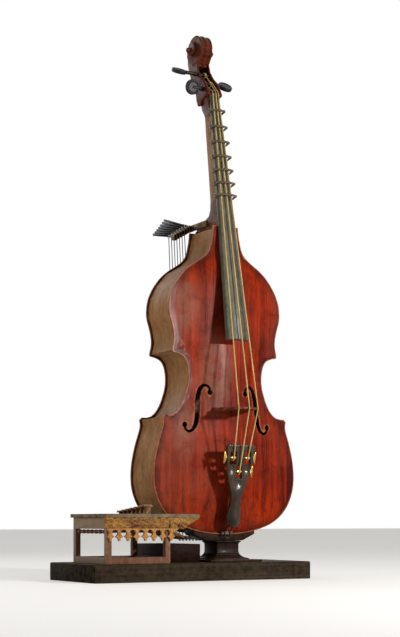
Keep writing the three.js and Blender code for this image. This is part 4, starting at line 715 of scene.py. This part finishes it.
def cutFiner(work, longest):
    for _ in range(making["passes"]):
        longEdges = [edge for edge in work.edges if edge.calc_length() > longest]
        if not longEdges:
            break
        bmesh.ops.subdivide_edges(work, edges=longEdges, cuts=1, use_grid_fill=True)
        bmesh.ops.triangulate(work, faces=[face for face in work.faces if len(face.verts) > 4])
    bmesh.ops.dissolve_degenerate(work, dist=making["slimmest"], edges=work.edges)


bellyEdge = bodyHigh[1] - arching["thick"]  # front plane of the belly's edge
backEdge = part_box("back")[1][1] - arching["rise"]  # rear plane of the back's edge


def riseAt(point):
    return archRise(point.x - bodyMiddle, point.z - bodyLow[2])


def roundOutline(work):  # the outline and the f-holes lose their straight steps, the corners stay sharp
    walls = [edge for edge in sharpEdges(work, arching["flattest"])
             if abs(edge.verts[0].co.y - edge.verts[1].co.y) > edge.calc_length() * arching["upright"]
             and edge.calc_face_angle(0) < math.radians(arching["sharpest"])]
    bevelEdges(work, walls, arching["cornerShare"], arching["outlineSteps"], "PERCENT")


def archedPlate(nodeName, edgePlane, outward):
    work = plainCopy(nodeName)
    roundOutline(work)
    rim = [edge for edge in sharpEdges(work, arching["rimAngle"])
           if all(riseAt(vert.co) < arching["flatRise"] for vert in edge.verts)]
    rimPoints = []
    for edge in rim:
        steps = max(1, round(edge.calc_length() / arching["rimStep"]))
        first, last = (vert.co.copy() for vert in edge.verts)
        rimPoints.extend(first.lerp(last, step / steps) for step in range(steps + 1))
    bevelEdges(work, rim, arching["rimBevel"], arching["rimSteps"])
    bmesh.ops.triangulate(work, faces=work.faces)
    cutFiner(work, arching["longest"])
    nearRim = kdtree.KDTree(len(rimPoints))
    for index, point in enumerate(rimPoints):
        nearRim.insert(point, index)
    nearRim.balance()
    rimLayer = work.verts.layers.float.new("rimNear")
    work.normal_update()
    for vert in work.verts:
        vert[rimLayer] = nearRim.find(vert.co)[2]
        rise = riseAt(vert.co)
        if rise < arching["flatRise"]:
            continue
        facing = [face.normal.y * outward for face in vert.link_faces]
        if max(facing) > arching["facing"]:
            vert.co.y = edgePlane + outward * rise
        elif min(facing) < -arching["facing"]:
            vert.co.y = edgePlane + outward * (rise - arching["thick"])
    return finishPiece(work, nodeName + "Plate", finishOf[slotOf[nodeName]], arching["smoothTo"])


standFor(archedPlate("belly", bellyEdge, -1), "belly")
standFor(archedPlate("back", backEdge, 1), "back")
print("plates made")


# Strings: the CAD course in short lengths, so that subdivision rounds it and its bends stay in place
stringCut = {"longest": 0.02, "smoothTo": 80}
for i in threes:
    course = plainCopy(f"string_{i}")
    cutFiner(course, stringCut["longest"])
    stringPiece = finishPiece(course, f"stringRounded{i}", guts["paleGut"], stringCut["smoothTo"])
    rounding = stringPiece.modifiers.new("round", "SUBSURF")
    rounding.levels = 1
    rounding.render_levels = 1
    standFor(stringPiece, f"string_{i}")
print("strings made")


# Rounded pieces: an even skin over the CAD solid, softened, then carved
def evenSkin(nodeName, cell, passes):
    work = mergedCopy(nodeName)
    rawMesh = bpy.data.meshes.new("rawShape")
    work.to_mesh(rawMesh)
    work.free()
    holder = bpy.data.objects.new("rawShape", rawMesh)
    bpy.context.collection.objects.link(holder)
    skin = holder.modifiers.new("skin", "REMESH")
    skin.mode = "VOXEL"
    skin.voxel_size = cell
    soften = holder.modifiers.new("soften", "SMOOTH")
    soften.factor = making["soften"]
    soften.iterations = passes
    shaped = bmesh.new()
    shaped.from_mesh(holder.evaluated_get(bpy.context.evaluated_depsgraph_get()).to_mesh())
    bpy.data.objects.remove(holder)
    shaped.normal_update()
    return shaped


# Head: the volute's flat steps rounded, and two flutes with a ridge between them on its outer band
head = {
    "cell": 0.0036, "passes": 7, "axisY": 0.1563, "axisZ": 3.673, "bandHalf": 0.043, "innermost": 0.084,
    "flute": 0.008, "facing": 0.5, "stepFrom": -40, "step": 35, "lowest": 0.07, "smoothTo": 70,
}
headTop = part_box("scroll_head")[1][2]
headSkin = evenSkin("scroll_head", head["cell"], head["passes"])
for vert in headSkin.verts:
    out = Vector((0, vert.co.y - head["axisY"], vert.co.z - head["axisZ"]))
    joinsNeck = vert.co.z < head["axisZ"] - head["lowest"] and vert.co.y > head["axisY"] - head["bandHalf"]
    if out.length < head["innermost"] or joinsNeck or vert.normal.dot(out.normalized()) < head["facing"]:
        continue
    turned = math.degrees(math.atan2(out.z, out.y))
    fromMiddle = (turned - head["stepFrom"]) % head["step"] - head["step"] / 2
    rounding = math.cos(math.radians(fromMiddle)) / math.cos(math.radians(head["step"] / 2))
    across = min(1.0, abs(vert.co.x - bodyMiddle) / head["bandHalf"])
    sunk = head["flute"] * math.sin(math.pi * across) ** 2
    vert.co += out * (rounding - 1) - out.normalized() * sunk
    vert.co.z = min(vert.co.z, headTop)
bmesh.ops.smooth_vert(headSkin, verts=headSkin.verts, factor=making["soften"],
                      use_axis_x=True, use_axis_y=True, use_axis_z=True)
standFor(finishPiece(headSkin, "scrollHead", woods["headWood"], head["smoothTo"]), "scroll_head")

# Pegs: the discs and collars rounded over
pegRounding = {"cell": 0.0026, "passes": 5, "smoothTo": 75}
for i in threes:
    pegSkin = evenSkin(f"peg_{i}", pegRounding["cell"], pegRounding["passes"])
    pegPiece = finishPiece(pegSkin, f"pegRounded{i}", woods["pegWood"], pegRounding["smoothTo"])
    standFor(pegPiece, f"peg_{i}")
print("head and pegs made")

# Tailpiece: a crowned stem with its bulb, and hollows below the rollers
tail = {
    "cell": 0.0034, "passes": 4, "foot": (0.2671, -0.2789, 0.3522), "tilt": math.radians(11.5),
    "halfWidths": [
        (0.0, 0.03), (0.05, 0.052), (0.1, 0.05), (0.19, 0.04), (0.29, 0.066), (0.4, 0.092), (0.56, 0.11),
    ],
    "crown": 0.016, "crownEnds": (0.26, 0.42), "bulb": 0.01, "bulbAt": 0.06, "bulbLong": 0.045,
    "hollows": [(-0.055, 0.405, 0.03), (0.055, 0.405, 0.03), (0.0, 0.31, 0.03)], "hollowDeep": 0.013,
    "hollowLong": 0.7, "facing": 0.5, "smoothTo": 75,
}


def tailHalfAt(up):
    for (low, halfLow), (high, halfHigh) in zip(tail["halfWidths"], tail["halfWidths"][1:]):
        if up <= high:
            return halfLow + (halfHigh - halfLow) * max(0.0, up - low) / (high - low)
    return tail["halfWidths"][-1][1]


tailUp = Vector((0, -math.sin(tail["tilt"]), math.cos(tail["tilt"])))
tailOut = Vector((0, -math.cos(tail["tilt"]), -math.sin(tail["tilt"])))
tailSkin = evenSkin("tailpiece", tail["cell"], tail["passes"])
for vert in tailSkin.verts:
    if vert.normal.dot(tailOut) < tail["facing"]:
        continue
    fromFoot = vert.co - Vector(tail["foot"])
    up, across = fromFoot.dot(tailUp), fromFoot.x
    crownFrom, crownTo = tail["crownEnds"]
    lower = min(1.0, max(0.0, (crownTo - up) / (crownTo - crownFrom)))
    crowned = max(0.0, 1 - (across / tailHalfAt(up)) ** 2)
    raised = tail["crown"] * lower * crowned
    raised += tail["bulb"] * crowned * math.exp(-((up - tail["bulbAt"]) / tail["bulbLong"]) ** 2)
    for hollowX, hollowUp, reach in tail["hollows"]:
        apart = math.hypot(across - hollowX, (up - hollowUp) * tail["hollowLong"])
        raised -= tail["hollowDeep"] * math.exp(-(apart / reach) ** 2)
    vert.co += tailOut * raised
standFor(finishPiece(tailSkin, "tailCarved", woods["tailWood"], tail["smoothTo"]), "tailpiece")
print("tailpiece made")

# Cornice: leaf relief on its moulded front, paler pendants below
cornice = {
    "bevel": 0.0016, "longest": 0.0065, "deep": 0.009, "leaf": 0.0629, "pendantTop": 0.344, "facing": 0.25,
    "curls": 80, "ground": 0.5, "veinShare": 0.3, "veinBend": 3.0, "curlShare": 0.5, "smoothTo": 60,
}
corniceCut = plainCopy("platform_cornice")
bevelEdges(corniceCut, sharpEdges(corniceCut, making["edge"]), cornice["bevel"], making["steps"])
bmesh.ops.triangulate(corniceCut, faces=corniceCut.faces)
cutFiner(corniceCut, cornice["longest"])
corniceCut.normal_update()
for vert in corniceCut.verts:
    if vert.normal.y > -cornice["facing"] or vert.co.z < cornice["pendantTop"]:
        continue
    turns = math.tau * vert.co.x / cornice["leaf"]
    bend = cornice["veinBend"] * math.sin(vert.co.z * math.tau / cornice["leaf"])
    veins = cornice["veinShare"] * math.sin(turns + bend)
    curls = cornice["curlShare"] * noise.noise(vert.co * cornice["curls"])
    vert.co.y += cornice["deep"] * (cornice["ground"] + veins + curls) * min(1.0, -vert.normal.y)
for face in corniceCut.faces:
    face.material_index = int(face.calc_center_median().z < cornice["pendantTop"])
cornicePiece = finishPiece(corniceCut, "corniceCarved", woods["carvedWood"], cornice["smoothTo"],
                           [woods["pendantWood"]])
standFor(cornicePiece, "platform_cornice")
print("cornice made")

# Neck: bare golden wood between the varnished heel and the varnished top
neckZones = {"heelTop": 2.535, "headFoot": 3.150, "slope": 0.35, "near": 1e-6}
neckCut = plainCopy("neck")


def splitNeck(height, slope):
    everything = neckCut.verts[:] + neckCut.edges[:] + neckCut.faces[:]
    bmesh.ops.bisect_plane(neckCut, geom=everything, dist=neckZones["near"],
                           plane_co=(bodyMiddle, 0, height), plane_no=(0, slope, 1))


for height in (neckZones["heelTop"], neckZones["headFoot"]):
    splitNeck(height, neckZones["slope"])
for face in neckCut.faces:
    middle = face.calc_center_median()
    level = middle.z + neckZones["slope"] * middle.y
    face.material_index = 0 if neckZones["heelTop"] < level < neckZones["headFoot"] else 1
neckPiece = finishPiece(neckCut, "neckZoned", woods["neckWood"], others=[woods["heelWood"]])
standFor(neckPiece, "neck")
print("neck made")


# Stage: pale floor, light and camera
floorSpec = dict(size=60, colour=linear(238, 236, 232), lift=0.42, rough=0.8)
floorMesh = bmesh.new()
bmesh.ops.create_grid(floorMesh, x_segments=1, y_segments=1, size=floorSpec["size"])
floorMaterial, floorTree, floorShader, _ = bareMaterial("paleFloor")
floorShader.inputs["Base Color"].default_value = floorSpec["colour"]
floorShader.inputs["Roughness"].default_value = floorSpec["rough"]
floorShader.inputs["Emission Color"].default_value = floorSpec["colour"]
seenFloor = floorTree.nodes.new("ShaderNodeLightPath")
floorLift = mathNode(floorTree, "MULTIPLY", seenFloor.outputs["Is Camera Ray"], floorSpec["lift"])
floorTree.links.new(floorLift, floorShader.inputs["Emission Strength"])
floorPiece = finishPiece(floorMesh, "paleFloor", floorMaterial)

lampSpecs = [
    dict(name="keyLamp", place=(3.4, -7.0, 2.7), aim=(0.1, 0, 1.9), size=0.5, power=500),
    dict(name="fillLamp", place=(-6.2, 0.9, 2.6), aim=(0, 0, 1.6), size=2.5, power=100),
    dict(name="rimLamp", place=(-1.5, 5.5, 5.0), aim=(0, 0, 2.0), size=3.0, power=60),
]
for spec in lampSpecs:
    lampData = bpy.data.lights.new(spec["name"], "AREA")
    lampData.shape = "SQUARE"
    lampData.size = spec["size"]
    lampData.energy = spec["power"]
    lamp = bpy.data.objects.new(spec["name"], lampData)
    lamp.location = spec["place"]
    aimed = Vector(spec["aim"]) - Vector(spec["place"])
    lamp.rotation_euler = aimed.to_track_quat("-Z", "Y").to_euler()
    bpy.context.collection.objects.link(lamp)

worldSpec = dict(light=0.155, seen=1.0, colour=(1, 1, 1, 1))
world = bpy.data.worlds.new("studio")
bpy.context.scene.world = world
world.use_nodes = True
worldTree = world.node_tree
worldTree.nodes.clear()
worldOut = worldTree.nodes.new("ShaderNodeOutputWorld")
sky = worldTree.nodes.new("ShaderNodeBackground")
rays = worldTree.nodes.new("ShaderNodeLightPath")
bounced = mathNode(worldTree, "MAXIMUM", rays.outputs["Is Glossy Ray"], rays.outputs["Is Transmission Ray"])
seenBy = mathNode(worldTree, "MAXIMUM", rays.outputs["Is Camera Ray"], bounced)
strength = spreadNode(worldTree, seenBy, 0, 1, (worldSpec["light"], worldSpec["seen"]))
sky.inputs["Color"].default_value = worldSpec["colour"]
worldTree.links.new(strength, sky.inputs["Strength"])
worldTree.links.new(sky.outputs[0], worldOut.inputs[0])

cameraSpec = dict(
    place=(-4.699, -8.289, 0.386), azimuth=30.40, level=90, lens=126, sensor=36,
    shift=(0.0047, 0.509), far=200,
)
cameraData = bpy.data.cameras.new("viewCamera")
cameraData.sensor_fit = "HORIZONTAL"
cameraData.sensor_width = cameraSpec["sensor"]
cameraData.lens = cameraSpec["lens"]
cameraData.shift_x, cameraData.shift_y = cameraSpec["shift"]
cameraData.clip_end = cameraSpec["far"]
viewCamera = bpy.data.objects.new("viewCamera", cameraData)
viewCamera.location = cameraSpec["place"]
viewCamera.rotation_euler = (math.radians(cameraSpec["level"]), 0, math.radians(-cameraSpec["azimuth"]))
bpy.context.collection.objects.link(viewCamera)
bpy.context.scene.camera = viewCamera
bpy.context.scene.view_settings.view_transform = "Standard"
print("stage set")
